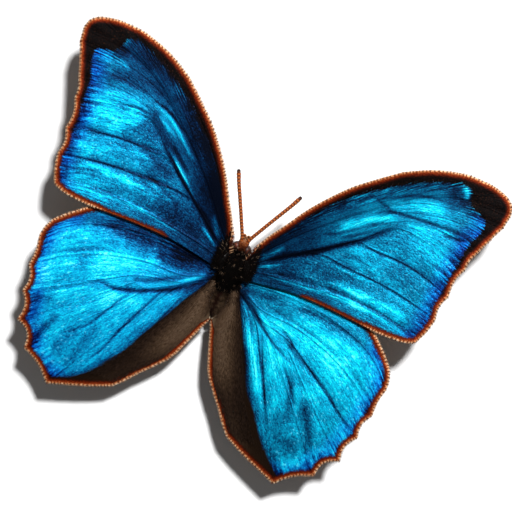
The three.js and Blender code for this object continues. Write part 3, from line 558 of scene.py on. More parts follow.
# %% Strokes of the left hindwing
LEFT_HIND_STROKES = [
    ([(21.6, -7.6), (27.0, -11.6), (33.0, -15.6), (40.0, -20.0)], 2.6, 0.26),
    ([(20.0, -9.4), (23.6, -11.2)], 0.6, 0.34),
    ([(28.0, -10.0), (34.0, -13.6), (40.6, -15.6)], 1.0, 0.2),
    ([(37.0, -8.0), (46.0, -11.0), (52.6, -16.0)], 2.4, 0.2),
    ([(44.0, -19.0), (50.0, -26.0), (52.0, -33.0)], 2.8, 0.3),
    ([(34.0, -21.0), (40.0, -26.6), (46.0, -31.6)], 1.5, 0.22),
    ([(20.6, -22.6), (27.0, -25.0), (31.0, -31.0)], 2.2, 0.24),
    ([(10.0, -15.6), (12.6, -19.4), (15.6, -21.6)], 1.0, 0.22),
    ([(10.6, -18.4), (13.0, -24.0), (15.6, -30.4)], 0.9, 0.26),
    ([(24.0, -30.0), (30.0, -38.0), (36.0, -46.0)], 2.4, 0.1),
    ([(6.0, -7.2), (9.6, -10.4), (14.8, -14.0)], 0.34, 0.36),
    ([(28.0, -23.4), (33.0, -28.6), (38.0, -34.0)], 0.6, 0.2),
    # The next three dark strokes are the forewing's painted shadow on this hindwing, behind its rear edge.
    ([(6.2, -3.0), (14.0, -5.6), (23.0, -7.4)], 3.0, -0.75),
    ([(12.0, -3.0), (24.0, -3.4), (36.0, -4.2), (46.0, -6.2), (51.0, -9.0)], 2.2, -0.62),
    ([(20.0, -6.4), (27.0, -8.6), (33.0, -9.6)], 2.6, -0.35),
    ([(30.0, -4.6), (36.0, -5.2), (44.0, -7.6)], 0.6, -0.24),
    ([(6.0, -9.6), (10.0, -13.0), (16.5, -17.2), (21.6, -19.6), (26.6, -21.8), (31.6, -22.8)], 0.5, -0.66),
    ([(12.0, -11.4), (17.0, -13.6), (22.0, -16.4), (26.6, -17.8)], 0.6, -0.42),
    ([(24.0, -20.0), (30.0, -22.6), (35.0, -22.4), (37.6, -24.4)], 0.5, -0.5),
    ([(30.0, -24.0), (36.0, -24.4), (40.0, -25.6)], 1.2, -0.24),
    ([(36.0, -12.0), (44.0, -16.0), (52.6, -20.4)], 0.34, -0.3),
    ([(37.0, -24.2), (44.0, -28.4), (52.6, -34.2)], 0.3, -0.3),
    ([(25.6, -22.4), (29.4, -29.4), (33.0, -35.6), (39.6, -41.6)], 0.28, -0.46),
    ([(16.4, -17.0), (20.0, -25.0), (23.2, -32.4), (26.4, -41.2), (30.0, -47.0)], 0.3, -0.5),
    ([(10.2, -15.8), (12.8, -23.0), (15.0, -29.4)], 0.3, -0.4),
    ([(42.4, -36.4), (44.6, -42.0), (46.4, -47.4)], 0.8, -0.48),
    ([(51.0, -35.0), (48.0, -33.4), (45.0, -32.4)], 0.8, -0.36),
    ([(35.0, -38.0), (40.0, -47.0)], 1.0, -0.26),
    ([(28.0, -35.0), (31.6, -42.0), (35.0, -50.0)], 1.5, -0.26),
    ([(30.0, -34.0), (33.0, -42.6)], 0.7, -0.2),
    ([(50.6, -29.0), (49.0, -38.0), (44.0, -47.0)], 1.4, -0.24),
    ([(27.0, -20.6), (31.0, -23.4), (36.0, -27.0)], 1.2, 0.35),
    ([(8.0, -13.0), (12.6, -16.0), (18.0, -18.0)], 0.9, -0.2),
    ([(42.0, -29.0), (50.0, -33.0)], 1.2, 0.15),
    ([(24.0, -6.2), (36.0, -6.8)], 0.9, -0.2),
]
print("strokes of the left hindwing:", len(LEFT_HIND_STROKES))

# %% Add the strokes up
CREASE_WIDTH = 0.6
CREASE_GAIN = 0.3


def stroke_field(plan, strokes):
    """Painted light of the pleats, also their height: above zero a painted highlight, below it shade."""
    flat = plan.reshape(-1, 2)
    total = np.zeros(len(flat))
    for line, half_width, strength in strokes:
        path = smooth_path(line, 16)
        near = np.all((flat > path.min(0) - 3 * half_width) & (flat < path.max(0) + 3 * half_width), axis=1)
        away, _, along = distance_to(flat[near], path)
        bite = 1 + CREASE_GAIN * math.exp(-(half_width / CREASE_WIDTH) ** 2)
        profile = np.sqrt(4 * along * (1 - along)) * np.exp(-0.5 * (away / half_width) ** 2)
        total[near] += bite * strength * profile
    return total


# %% [markdown]
# ## Building the films
#
# One grid becomes one wing: its columns are laid on the rays and its rows run from root to margin, so
# the mesh, the pleats and the streaks of colour all follow the veins. The veins stand up as fine ribs.
# The film starts as a single layer, because a Solidify modifier then gives it two skins and an edge,
# each with a material of its own, exactly as far apart as the real film is thick.

# %% One wing from its grid
VEIN_HEIGHT = 0.2
VEIN_HALF_WIDTH = 0.24
PLEAT_HEIGHT = 0.2
PLEAT_LIMIT = 0.8
VEIN_TAPER = 0.6
BAY_SWELL = 0.16
FILM = 0.12


def film_height(plan, cells, fields, pleats_and_painted_light, hind):
    """Height of the film's middle at each plan point, with its veins, pleats and bays."""
    flat = plan.reshape(-1, 2)
    across = np.repeat([share for _, share in cells], plan.shape[1])
    along = np.tile(np.linspace(0, 1, plan.shape[1]), plan.shape[0])
    z = sheet_height(flat[:, 0], flat[:, 1])
    if hind:
        z = z - HIND_BELOW_FORE - inner_fold(flat[:, 0], flat[:, 1])
    taper = 1 - VEIN_TAPER * along
    z = z + VEIN_HEIGHT * taper * np.exp(-(fields["vein"] / VEIN_HALF_WIDTH) ** 2)
    pleats = PLEAT_HEIGHT * np.clip(pleats_and_painted_light, -PLEAT_LIMIT, PLEAT_LIMIT)
    return z + pleats + BAY_SWELL * np.sin(np.pi * across) * along


def wing(name, plan, cells, fields, strokes, mirrored, hind):
    """A wing film on a grid; returns its object, before its materials."""
    columns, rows = plan.shape[:2]
    # The pleats' painted light and shade; the same values raise and lower the film.
    pleats_and_painted_light = stroke_field(plan, strokes)
    points = np.column_stack([plan.reshape(-1, 2), film_height(plan, cells, fields, pleats_and_painted_light, hind)])
    points = points * hand(mirrored)
    bm = bmesh.new()
    bmesh.ops.create_grid(bm, x_segments=columns - 1, y_segments=rows - 1, size=1)
    place = np.array([v.co[:2] for v in bm.verts])
    index = np.rint((place + 1) / 2 * [columns - 1, rows - 1]).astype(int)
    order = index[:, 0] * rows + index[:, 1]
    for vert, spot in zip(bm.verts, metres(points)[order]):
        vert.co = spot
    bm.normal_update()
    if sum(f.normal.z for f in bm.faces) < 0:
        bmesh.ops.reverse_faces(bm, faces=bm.faces)
    mesh = bpy.data.meshes.new(name)
    bm.to_mesh(mesh)
    bm.free()
    along = run_along(plan[columns // 2])
    streak = np.column_stack([np.repeat([n + s for n, s in cells], rows), np.tile(along, columns)])
    for field, values in {**fields, "pleats_and_painted_light": pleats_and_painted_light}.items():
        mesh.attributes.new(field, "FLOAT", "POINT").data.foreach_set("value", values[order])
    corner = np.zeros(len(mesh.loops), int)
    mesh.loops.foreach_get("vertex_index", corner)
    mesh.uv_layers.new(name="Film").data.foreach_set("uv", streak[order][corner].ravel())
    mesh.polygons.foreach_set("use_smooth", [True] * len(mesh.polygons))
    film = bpy.data.objects.new(name, mesh)
    bpy.context.collection.objects.link(film)
    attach(film, "root")
    print(name, len(mesh.polygons), "faces, glow", pleats_and_painted_light.min().round(2), "to", pleats_and_painted_light.max().round(2))
    return film


wings = {}
for pair, plan, cells, fields, strokes in (
        ("forewing", fore_plan, fore_cells, fore_fields, (RIGHT_FORE_STROKES, LEFT_FORE_STROKES)),
        ("hindwing", hind_plan, hind_cells, hind_fields, (RIGHT_HIND_STROKES, LEFT_HIND_STROKES))):
    for (side, mirrored), listed in zip(SIDES, strokes):
        name = f"{pair}_film_{side}"
        wings[name] = wing(name, plan, cells, fields[side], listed, mirrored, pair == "hindwing")

# %% [markdown]
# ## The blue scales
#
# Morpho scales are clear plates of chitin, ridged like a fine grating. They reflect blue much as a metal
# does, so the shader is part metal with a medium roughness. The grating itself is far too fine to draw.
# What shows is the run of the scales along the veins, so a noise stretched along them on the film's own
# UV map makes long streaks. Each cell of a Voronoi pattern on the same map is one scale, and a random value
# of its own paints its tilt into the colour as a little more or less light, with a painted glint on a few:
# real scales are 0.2 mm long, drawn here at 0.6 mm so that they show.

# %% Patterns of the upper side
# The first field is the pleats' painted light and shade.
UPPER_FIELDS = ("pleats_and_painted_light", "vein", "border", "fold", "root", "outer", "rim", "edge_run")


def upper_patterns(tree, seed):
    """The stored fields and the noises that the upper side is made of, by name."""
    at = {which: node(tree, "Attribute", attribute_name=which, out=2) for which in UPPER_FIELDS}
    film = node(tree, "UVMap", uv_map="Film")
    spot = node(tree, "TexCoord", out=3)
    stretched = node(tree, "Mapping", {0: film, 1: (seed, 0, 0), 3: (9.0, 0.13, 1)})
    at["streak"] = node(tree, "TexNoise", {"Vector": stretched, "Scale": 1.0, "Detail": 5.0,
                                           "Roughness": 0.62})
    at["hairline"] = node(tree, "MapRange", {"Value": at["streak"], 1: 0.36, 2: 0.64})
    at["broad"] = node(tree, "TexNoise", {"Vector": spot, "Scale": 110.0, "Detail": 3.0, "W": seed},
                       noise_dimensions="4D")
    for which, size, detail in (("patches", 260.0, 3.0), ("grain", 900.0, 4.0), ("grainy", 2400.0, 2.0)):
        at[which] = node(tree, "TexNoise", {"Vector": spot, "Scale": size, "Detail": detail})
    scale_rows = node(tree, "Mapping", {0: film, 3: (22.0, 1.7, 1)})
    scales = node(tree, "TexVoronoi", {"Vector": scale_rows, "Scale": 1.0}, voronoi_dimensions="2D").node
    at["dome"] = scales.outputs["Distance"]
    at["tilt"] = node(tree, "SeparateColor", {0: scales.outputs["Color"]})
    return at


def strayed(tree, value, pattern, amount):
    """A value pushed up and down by a pattern, by half the amount each way."""
    centred = node(tree, "Math", {0: pattern, 1: 0.5}, operation="SUBTRACT")
    return node(tree, "Math", {0: centred, 1: amount, 2: value}, operation="MULTIPLY_ADD")


# %% [markdown]
# One number says how much light a scale sends up, and it is painted into the colour: the wing's own
# painted level, raised or lowered by the pleats' painted light and shade and by each noise, and darker
# along the veins, at the border, by the fold and near the root. A ramp turns it to blue, from navy through
# cyan to nearly white. Towards the margin a second ramp leans to azure, and a few random scales get a
# painted glint, a pale flash.

# %% Painted light and blue of the scales
BLUE = [(0.0, "000410"), (0.18, "021E3C"), (0.36, "03466B"), (0.54, "057BA2"), (0.72, "06ADD3"),
        (0.88, "0ADCEE"), (1.0, "50F4FF")]
AZURE = [(0.0, "00041A"), (0.18, "02195A"), (0.36, "033F96"), (0.54, "066CCB"), (0.72, "0E9AEE"),
         (0.88, "22C0F8"), (1.0, "66E8FF")]


def painted_scale_light(tree, at, painted_base_light, hind):
    """How much light the scales send up, painted into their colour, from 0 to 1."""
    strands = node(tree, "Math", {0: at["hairline"], 1: 0.5}, operation="ADD")
    strands = node(tree, "Math", {0: at["pleats_and_painted_light"], 1: strands}, operation="MULTIPLY")
    light = node(tree, "Math", {0: strands, 1: 0.68, 2: painted_base_light}, operation="MULTIPLY_ADD")
    for pattern, amount in (("hairline", 0.16), ("broad", 0.42), ("grainy", 0.34), ("tilt", 0.2)):
        light = strayed(tree, light, at[pattern], amount)
    ribs = node(tree, "Math", {0: at["hairline"], 1: 2.3}, operation="MULTIPLY")
    ribs = node(tree, "Math", {0: 2.1, 1: ribs}, operation="SUBTRACT")
    margin = node(tree, "MapRange", {"Value": at["border"], 1: 0.0, 2: 3.4, 3: 0.24, 4: 0.0})
    root_reach, root_depth = (16.0, 0.2) if hind else (34.0, 0.3)
    shades = (node(tree, "MapRange", {"Value": at["vein"], 1: 0.0, 2: 0.34, 3: 0.1, 4: 0.0}),
              node(tree, "Math", {0: margin, 1: ribs}, operation="MULTIPLY"),
              node(tree, "MapRange", {"Value": at["fold"], 1: -3.0, 2: 0.0, 3: 0.0, 4: 0.3}),
              node(tree, "MapRange", {"Value": at["root"], 1: 3.0, 2: root_reach, 3: root_depth, 4: 0.0}))
    for shade in shades:
        light = node(tree, "Math", {0: light, 1: shade}, operation="SUBTRACT")
    light.node.use_clamp = True
    return light


def structural_blue(tree, at, light, azure_share):
    """The blue for the painted light, with azure patches near the margin and painted glints on a few scales.
    """
    blue = node(tree, "ValToRGB", {"Fac": light}, stops=BLUE)
    azure = node(tree, "ValToRGB", {"Fac": light}, stops=AZURE)
    near_margin = node(tree, "MapRange", {"Value": at["outer"], 1: 0.0, 2: 5.5, 3: 1.0, 4: 0.0})
    patchy = node(tree, "Math", {0: near_margin, 1: at["patches"]}, operation="MULTIPLY")
    hue = node(tree, "Math", {0: patchy, 1: 1.5, 2: azure_share}, operation="MULTIPLY_ADD")
    colour = node(tree, "Mix", {0: hue, 6: blue, 7: azure}, out=2, data_type="RGBA")
    # Painted glints: a few random scales turn pale where the painted light is high.
    painted_glint_pick = node(tree, "MapRange", {"Value": at["tilt"], 1: 0.96, 2: 0.99, 3: 0.0, 4: 0.16})
    lit = node(tree, "MapRange", {"Value": light, 1: 0.45, 2: 0.8})
    painted_glint = node(tree, "Math", {0: painted_glint_pick, 1: lit}, operation="MULTIPLY")
    return node(tree, "Mix", {0: painted_glint, 6: colour, 7: srgb("9CE4FA")}, out=2, data_type="RGBA")


# %% [markdown]
# Around the blue lie the black border and tip, and on the hindwing the brown fold. On a wing no such line
# is clean, because scales of both colours mix along it. So the stored field is pushed to and fro by the
# streaks and the grain before it is cut into a mask.

# %% Border, tip and fold
BROWN_DEPTH = 9.0


def dark_zones(tree, at, colour):
    """Lays the plain dark scales over the blue."""
    frayed = strayed(tree, at["border"], at["streak"], 2.4)
    mottled = strayed(tree, frayed, at["grainy"], 1.6)
    border = node(tree, "MapRange", {"Value": mottled, 1: -0.3, 2: 0.4, 3: 1.0, 4: 0.0})
    tip = node(tree, "ValToRGB", {"Fac": at["grainy"]}, stops=[
        (0.4, "020101"), (0.58, "070303"), (0.68, "1E0D07"), (0.78, "3C2414")])
    colour = node(tree, "Mix", {0: border, 6: colour, 7: tip}, out=2, data_type="RGBA")

    fold_edge = strayed(tree, at["fold"], at["streak"], 1.6)
    fold = node(tree, "MapRange", {"Value": fold_edge, 1: -0.3, 2: 0.3, 3: 0.0, 4: 1.0})
    depth = strayed(tree, at["fold"], at["grain"], 2.4)
    depth = node(tree, "Math", {0: depth, 1: BROWN_DEPTH}, operation="DIVIDE")
    brown = node(tree, "ValToRGB", {"Fac": depth}, stops=[
        (0.0, "050303"), (0.12, "0E0805"), (0.36, "24180F"), (0.66, "453527"), (1.0, "594838")])
    far = node(tree, "MapRange", {"Value": at["root"], 1: 12.0, 2: 34.0, 3: 0.0, 4: 0.75})
    brown = node(tree, "Mix", {0: far, 6: brown, 7: srgb("1A1009")}, out=2, data_type="RGBA")
    return node(tree, "Mix", {0: fold, 6: colour, 7: brown}, out=2, data_type="RGBA")


# %% [markdown]
# The outermost two millimetres are rust-coloured, pale at the very edge and nearly black inwards. The
# dark dashes in the pale line stand where the fringe outside has its dark clumps, because both follow the
# same uneven run along the edge.

# %% Rust margin
RUST_WIDTH = 2.25
CLUMP_PERIOD = 1.1


def rust_margin(tree, at, colour):
    """Lays the rust-coloured scales along the wing's edge, except at the hinge."""
    ragged = strayed(tree, at["rim"], at["grainy"], 1.2)
    depth = node(tree, "Math", {0: ragged, 1: RUST_WIDTH}, operation="DIVIDE")
    rust = node(tree, "ValToRGB", {"Fac": depth}, stops=[
        (0.0, "E4BC96"), (0.16, "BE7A4C"), (0.29, "843412"), (0.46, "5A1906"), (0.68, "2E0B03"),
        (0.9, "100402")])
    turn = node(tree, "Math", {0: at["edge_run"], 1: 2 * math.pi / CLUMP_PERIOD}, operation="MULTIPLY")
    clump = node(tree, "Math", {0: turn}, operation="SINE")
    dash = node(tree, "MapRange", {"Value": clump, 1: -0.1, 2: 0.5, 3: 0.0, 4: 0.85})
    outermost = node(tree, "MapRange", {"Value": at["rim"], 1: 0.3, 2: 1.0, 3: 1.0, 4: 0.0})
    dash = node(tree, "Math", {0: dash, 1: outermost}, operation="MULTIPLY")
    rust = node(tree, "Mix", {0: dash, 6: rust, 7: srgb("4A1808")}, out=2, data_type="RGBA")
    margin = node(tree, "MapRange", {"Value": ragged, 1: 0.6 * RUST_WIDTH, 2: 0.95 * RUST_WIDTH,
                                     3: 1.0, 4: 0.0})
    past_hinge = node(tree, "MapRange", {"Value": at["root"], 1: 4.2, 2: 6.8})
    margin = node(tree, "Math", {0: margin, 1: past_hinge}, operation="MULTIPLY")
    return node(tree, "Mix", {0: margin, 6: colour, 7: rust}, out=2, data_type="RGBA")


# %% Upper side of the wings
def upper_side(name, painted_base_light, azure_share, seed, hind):
    """Structural-colour scales: ridged chitin plates, laid like roof tiles along the veins."""
    material, tree = new_material(name)
    at = upper_patterns(tree, seed)
    light = painted_scale_light(tree, at, painted_base_light, hind)
    colour = structural_blue(tree, at, light, azure_share)
    colour = rust_margin(tree, at, dark_zones(tree, at, colour))
    height = node(tree, "Math", {0: at["dome"], 1: -0.6, 2: at["streak"]}, operation="MULTIPLY_ADD")
    bump = node(tree, "Bump", {"Height": height, "Distance": 0.00012, "Strength": 0.6})
    shader = node(tree, "BsdfPrincipled", {"Base Color": colour, "Metallic": 0.3, "Roughness": 0.46,
                                           "Specular IOR Level": 0.03, "Normal": bump})
    node(tree, "OutputMaterial", {"Surface": shader})
    return material


# %% [markdown]
# Below, the wings are brown, so that a resting morpho looks like a dead leaf. Pale bands cross the ground,
# fine lines follow the margin, and a row of eyespots stares at birds: a white point in a black pupil, with
# a yellow iris and a dark and a pale ring round it.

# %% Underside and cut edge of the wings
MARGIN_LINES = [(0.0, "7A5634"), (0.2, "5A3A20"), (0.3, "B59468"), (0.4, "2A1A0E"), (0.55, "7E4522"),
                (0.8, "2E1D10")]
MARGIN_LINES_WIDTH = 4.0
EYE_RINGS = [(0.06, "F0E8D8"), (0.1, "0A0706"), (0.36, "0A0706"), (0.4, "C9892C"), (0.5, "C9892C"),
             (0.54, "20130A"), (0.66, "20130A"), (0.72, "A8967A")]
EYE_RINGS_WIDTH = 1.5
UNDER_FIELDS = ("band", "vein", "rim", "eyespot")


def under_side(name):
    """Plain pigment scales: matt brown chitin with the bands and eyespots that hide a resting morpho."""
    material, tree = new_material(name)
    at = {which: node(tree, "Attribute", attribute_name=which, out=2) for which in UNDER_FIELDS}
    grain = node(tree, "TexNoise", {"Vector": node(tree, "TexCoord", out=3), "Scale": 700.0, "Detail": 5.0})
    colour = node(tree, "ValToRGB", {"Fac": grain}, stops=[
        (0.3, "241508"), (0.55, "432D1A"), (0.8, "6B5236")])
    band = node(tree, "Math", {0: at["band"], 1: grain}, operation="ADD")
    lines = node(tree, "Math", {0: at["rim"], 1: MARGIN_LINES_WIDTH}, operation="DIVIDE")
    lines = node(tree, "ValToRGB", {"Fac": lines}, stops=MARGIN_LINES)
    rings = node(tree, "Math", {0: at["eyespot"], 1: EYE_RINGS_WIDTH}, operation="DIVIDE")
    rings = node(tree, "ValToRGB", {"Fac": rings}, stops=EYE_RINGS)
    # Each layer has its colour, the field that places it, where it fades and ends, and its strength.
    for layer, value, fades, ends, strength in (
            (srgb("A98D68"), band, 1.0, 2.2, 0.8), (srgb("1C110A"), at["vein"], 0.1, 0.4, 0.7),
            (lines, at["rim"], 2.6, 3.6, 1.0), (rings, at["eyespot"], 1.1, 1.3, 1.0)):
        mask = node(tree, "MapRange", {"Value": value, 1: fades, 2: ends, 3: strength, 4: 0.0})
        colour = node(tree, "Mix", {0: mask, 6: colour, 7: layer}, out=2, data_type="RGBA")
    shader = node(tree, "BsdfPrincipled", {"Base Color": colour, "Roughness": 0.75,
                                           "Specular IOR Level": 0.2})
    node(tree, "OutputMaterial", {"Surface": shader})
    return material


def film_edge(name):
    """The film's margin, where rust-coloured scales wrap round it."""
    material, tree = new_material(name)
    spot = node(tree, "TexCoord", out=3)
    grain = node(tree, "TexNoise", {"Vector": spot, "Scale": 1500.0, "Detail": 2.0})
    rust = node(tree, "ValToRGB", {"Fac": grain}, stops=[(0.3, "A65A2E"), (0.7, "E3A070")])
    shader = node(tree, "BsdfPrincipled", {"Base Color": rust, "Roughness": 0.7})
    node(tree, "OutputMaterial", {"Surface": shader})
    return material


# %% Dress the films
UNDER_SCALES = under_side("wing_underside_pigment_scales")
EDGE_SCALES = film_edge("wing_margin_rust_scales")
# Painted light of each wing's blue, as sent to an eye above it, and how far its blue leans to azure.
WING_PAINTED_LIGHT = {"forewing_film_right": (0.475, 0.0), "forewing_film_left": (0.452, 0.08),
              "hindwing_film_right": (0.64, 0.0), "hindwing_film_left": (0.65, 0.2)}
SEED_STEP = 3.7
for number, (name, film) in enumerate(wings.items()):
    blue_scales = upper_side("blue_structural_scales_" + name.replace("wing_film", ""), *WING_PAINTED_LIGHT[name],
                             SEED_STEP * number, name.startswith("hind"))
    for material in (blue_scales, UNDER_SCALES, EDGE_SCALES):
        film.data.materials.append(material)
    shell = film.modifiers.new("film", "SOLIDIFY")
    shell.thickness = FILM / 1000
    shell.offset = 0
    shell.material_offset = 1
    shell.material_offset_rim = 2
    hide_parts(name.replace("_film", ""))
print("wing films dressed:", len(wings))

# %% [markdown]
# ## Closed forms
#
# Body, legs, feelers and tongue are all closed skins over a curved core. A UV sphere is already such a
# skin: its rings become the rings of the limb and its two poles the closed ends. So one helper makes a
# sphere and moves each vertex to where a shape function puts it, from how far round and how far along it
# lies. The same two numbers are an unwrap of the skin, which the coat uses later.

# %% One helper for closed skins
def closed_form(name, shape, around, along, replaced=()):
    """A closed mesh; shape(u, v) gives plan points for shares u round and v along."""
    bm = bmesh.new()
    bmesh.ops.create_uvsphere(bm, u_segments=around, v_segments=along, radius=1)
    ball = np.array([v.co for v in bm.verts])
    u = np.arctan2(ball[:, 1], ball[:, 0]) / (2 * np.pi) % 1
    v = np.arccos(np.clip(ball[:, 2], -1, 1)) / np.pi
    for vert, spot in zip(bm.verts, metres(shape(u, v))):
        vert.co = spot
    bmesh.ops.recalc_face_normals(bm, faces=bm.faces)
    unwrap = bm.loops.layers.uv.new("OFBake")
    for face in bm.faces:
        shares = [u[loop.vert.index] for loop in face.loops]
        wraps = max(shares) - min(shares) > 0.5
        for loop, share in zip(face.loops, shares):
            loop[unwrap].uv = (share + (wraps and share < 0.5), v[loop.vert.index])
    for face in bm.faces:
        face.smooth = True
    return finish_piece(name, bm, replaced)


def finish_piece(name, bm, replaced=()):
    """Turns a bmesh into a shown piece that rides on the model."""
    mesh = bpy.data.meshes.new(name)
    bm.to_mesh(mesh)
    bm.free()
    made = bpy.data.objects.new(name, mesh)
    bpy.context.collection.objects.link(made)
    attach(made, "root")
    if replaced:
        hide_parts(*replaced)
    print(name, len(mesh.polygons), "faces")
    return made


# %% [markdown]
# ## The body's skin
#
# Head, thorax and abdomen are one skin, so no seam shows at the neck or the waist. It lies under the
# coat, so it is slimmer than the solid body by the coat's depth: 0.7 mm on the thorax, less on the head
# and least on the abdomen. Each row below is a section: its place along the body, the height of its
# middle, and its half width and half height.

# %% Sections of the body
BODY_SECTIONS = [
    (6.4, 9.3, 0.0, 0.0), (6.28, 9.32, 0.55, 0.62), (5.9, 9.38, 1.0, 1.15), (5.2, 9.45, 1.4, 1.7),
    (4.0, 9.45, 1.68, 2.0), (2.8, 9.3, 1.55, 1.75), (1.9, 9.1, 1.15, 1.2), (1.3, 9.0, 1.2, 1.25),
    (0.6, 9.05, 1.9, 2.0), (-0.6, 9.15, 2.75, 2.85), (-2.4, 9.2, 3.35, 3.35), (-4.4, 9.2, 3.6, 3.5),
    (-6.6, 9.0, 3.4, 3.25), (-8.6, 8.85, 2.85, 2.75), (-10.4, 8.75, 2.15, 2.2), (-11.6, 8.7, 1.9, 1.94),
]
WAIST = -11.6
WAIST_HEIGHT = 8.7
ABDOMEN_LENGTH = 8.2
ABDOMEN_DROP = 3.1
ABDOMEN_RADIUS = 1.9
ABDOMEN_RINGS = 7
for share in (0.14, 0.28, 0.42, 0.56, 0.7, 0.82, 0.91, 0.97, 1.0):
    girth = ABDOMEN_RADIUS * (1 - share ** 2.6) ** 0.62 * (1 + 0.12 * math.sin(math.pi * share))
    BODY_SECTIONS.append((WAIST - ABDOMEN_LENGTH * share, WAIST_HEIGHT - ABDOMEN_DROP * share ** 1.25,
                          girth, 1.02 * girth))
BODY_LINE = smooth_path(BODY_SECTIONS, 400)


def body_skin(u, v):
    """Plan points of the bare body; u runs round from the belly, v from the face to the tail."""
    y, z, wide, high = (np.interp(v, np.linspace(0, 1, len(BODY_LINE)), column) for column in BODY_LINE.T)
    ring = np.clip((WAIST - y) / ABDOMEN_LENGTH, 0, 1) * ABDOMEN_RINGS
    overlap = 1 + 0.06 * (ring % 1 - 0.5) * (ring > 0) * (ring < ABDOMEN_RINGS - 0.3)
    turn = 2 * np.pi * u
    groove = 1 - 0.05 * np.exp(-((u - 0.5) / 0.03) ** 2) * smoothstep(-y, -0.5, 2.0) * smoothstep(y, -11, -8)
    return np.column_stack([wide * overlap * np.sin(turn), y, z - high * overlap * groove * np.cos(turn)])


body = closed_form("body_skin", body_skin, 72, 240, ("head", "thorax", "abdomen"))

# %% [markdown]
# ## Hair and scales as tufts
#
# A butterfly's coat is made of scales, and on the body they are drawn out into long flat hairs. Each one
# here is a slim three-sided blade, wide near its root and pointed at its tip, that leaves the skin at an
# angle and bends down to lie along the body. A cone cut across twice gives that blade. Thousands of
# copies are laid out with arrays and joined in one mesh, with one small patch each in the unwrap.

# %% The blade and its copies
rng = np.random.default_rng(7)


def blade(cuts):
    """Vertices (across, across, share along) and triangles of one blade."""
    bm = bmesh.new()
    bmesh.ops.create_cone(bm, cap_ends=True, segments=3, radius1=1, radius2=0, depth=1)
    for cut in cuts:
        bmesh.ops.bisect_plane(bm, geom=bm.verts[:] + bm.edges[:] + bm.faces[:], plane_co=(0, 0, cut - 0.5),
                               plane_no=(0, 0, 1))
    bmesh.ops.remove_doubles(bm, verts=bm.verts, dist=1e-5)
    bmesh.ops.triangulate(bm, faces=bm.faces)
    bm.verts.index_update()
    verts = np.array([v.co for v in bm.verts]) + [0, 0, 0.5]
    faces = np.array([[v.index for v in f.verts] for f in bm.faces])
    bm.free()
    return verts, faces


LONG_BLADE = blade((0.25, 0.6))
SHORT_BLADE = blade((0.45,))
PATCH = 0.003


def unit(vectors):
    """Rows scaled to length 1."""
    return vectors / np.maximum(np.linalg.norm(vectors, axis=1, keepdims=True), 1e-9)


def coat(name, shape, roots, normals, lie, length, width, rise, rest, unwrap, shade):
    """Joined blades. rise and rest are the angles in degrees to the skin at the root and over the whole."""
    verts, faces = shape
    lie = unit(lie - normals * np.sum(lie * normals, axis=1, keepdims=True))
    side = np.cross(lie, normals)

    def ahead(angle):
        angle = np.radians(angle)[:, None]
        return lie * np.cos(angle) + normals * np.sin(angle)

    count = len(roots)
    rise, rest = np.broadcast_to(rise, count), np.broadcast_to(rest, count)
    t = verts[None, :, 2:]
    reach = length[:, None, None]
    curve = 2 * t * (1 - t) * 0.5 * reach * ahead(rise)[:, None] + t ** 2 * reach * ahead(rest)[:, None]
    girth = width[:, None, None] * (1 + 1.2 * t)
    points = (roots[:, None] + curve + side[:, None] * verts[None, :, :1] * girth
              + normals[:, None] * verts[None, :, 1:2] * girth * 0.35)
    mesh = bpy.data.meshes.new(name)
    mesh.vertices.add(count * len(verts))
    mesh.vertices.foreach_set("co", metres(points.reshape(-1, 3)).ravel())
    corners = (faces[None] + np.arange(count)[:, None, None] * len(verts)).reshape(-1)
    mesh.loops.add(len(corners))
    mesh.loops.foreach_set("vertex_index", corners)
    mesh.polygons.add(len(corners) // 3)
    mesh.polygons.foreach_set("loop_start", np.arange(0, len(corners), 3))
    mesh.polygons.foreach_set("use_smooth", [True] * (len(corners) // 3))
    patch = unwrap[:, None] + PATCH * np.stack([verts[:, 0] / 2, verts[:, 2] - 0.5], 1)[None]
    mesh.uv_layers.new(name="OFBake").data.foreach_set("uv", patch.reshape(-1, 2)[corners].ravel())
    for field, values in (("shade", np.repeat(shade, len(verts))), ("run", np.tile(verts[:, 2], count))):
        mesh.attributes.new(field, "FLOAT", "POINT").data.foreach_set("value", values)
    mesh.update()
    mesh.validate()
    made = bpy.data.objects.new(name, mesh)
    bpy.context.collection.objects.link(made)
    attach(made, "root")
    print(name, count, "blades,", len(mesh.polygons), "triangles")
    return made


def scatter(shape, count, span, spread=None):
    """Even random roots on a closed form: shares u, v with v in span, and their points and normals."""
    u, v = rng.random(count * 6), span[0] + (span[1] - span[0]) * rng.random(count * 6)
    here = shape(u, v)
    step = 1e-3
    round_it = shape(u + step, v) - here
    along_it = shape(u, np.clip(v + step, 0, 1)) - here
    normals = np.cross(round_it, along_it)
    area = np.linalg.norm(normals, axis=1)
    keep = rng.random(len(u)) < area / area.max()
    if spread is not None:
        keep &= rng.random(len(u)) < spread(u, v, here)
    keep = np.flatnonzero(keep & (area > 1e-9))[:count]
    centre = shape(np.linspace(0, 1, 16, endpoint=False), np.full(16, np.mean(span))).mean(0)
    normals = unit(normals[keep])
    outward = np.sum(normals * (here[keep] - centre) * [1, 0, 1], axis=1).sum() < 0
    return u[keep], v[keep], here[keep], -normals if outward else normals


# %% Where along the body the parts lie
def body_share(y):
    """The share v at which the body's skin reaches a place along the plan."""
    return float(np.interp(-y, -BODY_LINE[:, 0], np.linspace(0, 1, len(BODY_LINE))))


HEAD_SPAN = (0.004, body_share(1.7))
THORAX_SPAN = (body_share(1.5), body_share(WAIST))
ABDOMEN_SPAN = (body_share(-11.4), 0.995)

# %% [markdown]
# ## The thorax's pelt
#
# The thorax is packed with flight muscle and wears the longest hair, which keeps it warm. The hair lies
# backwards and a little outwards, and the longest of it sweeps over the wing roots. It is almost black,
# with a few pale hairs between.

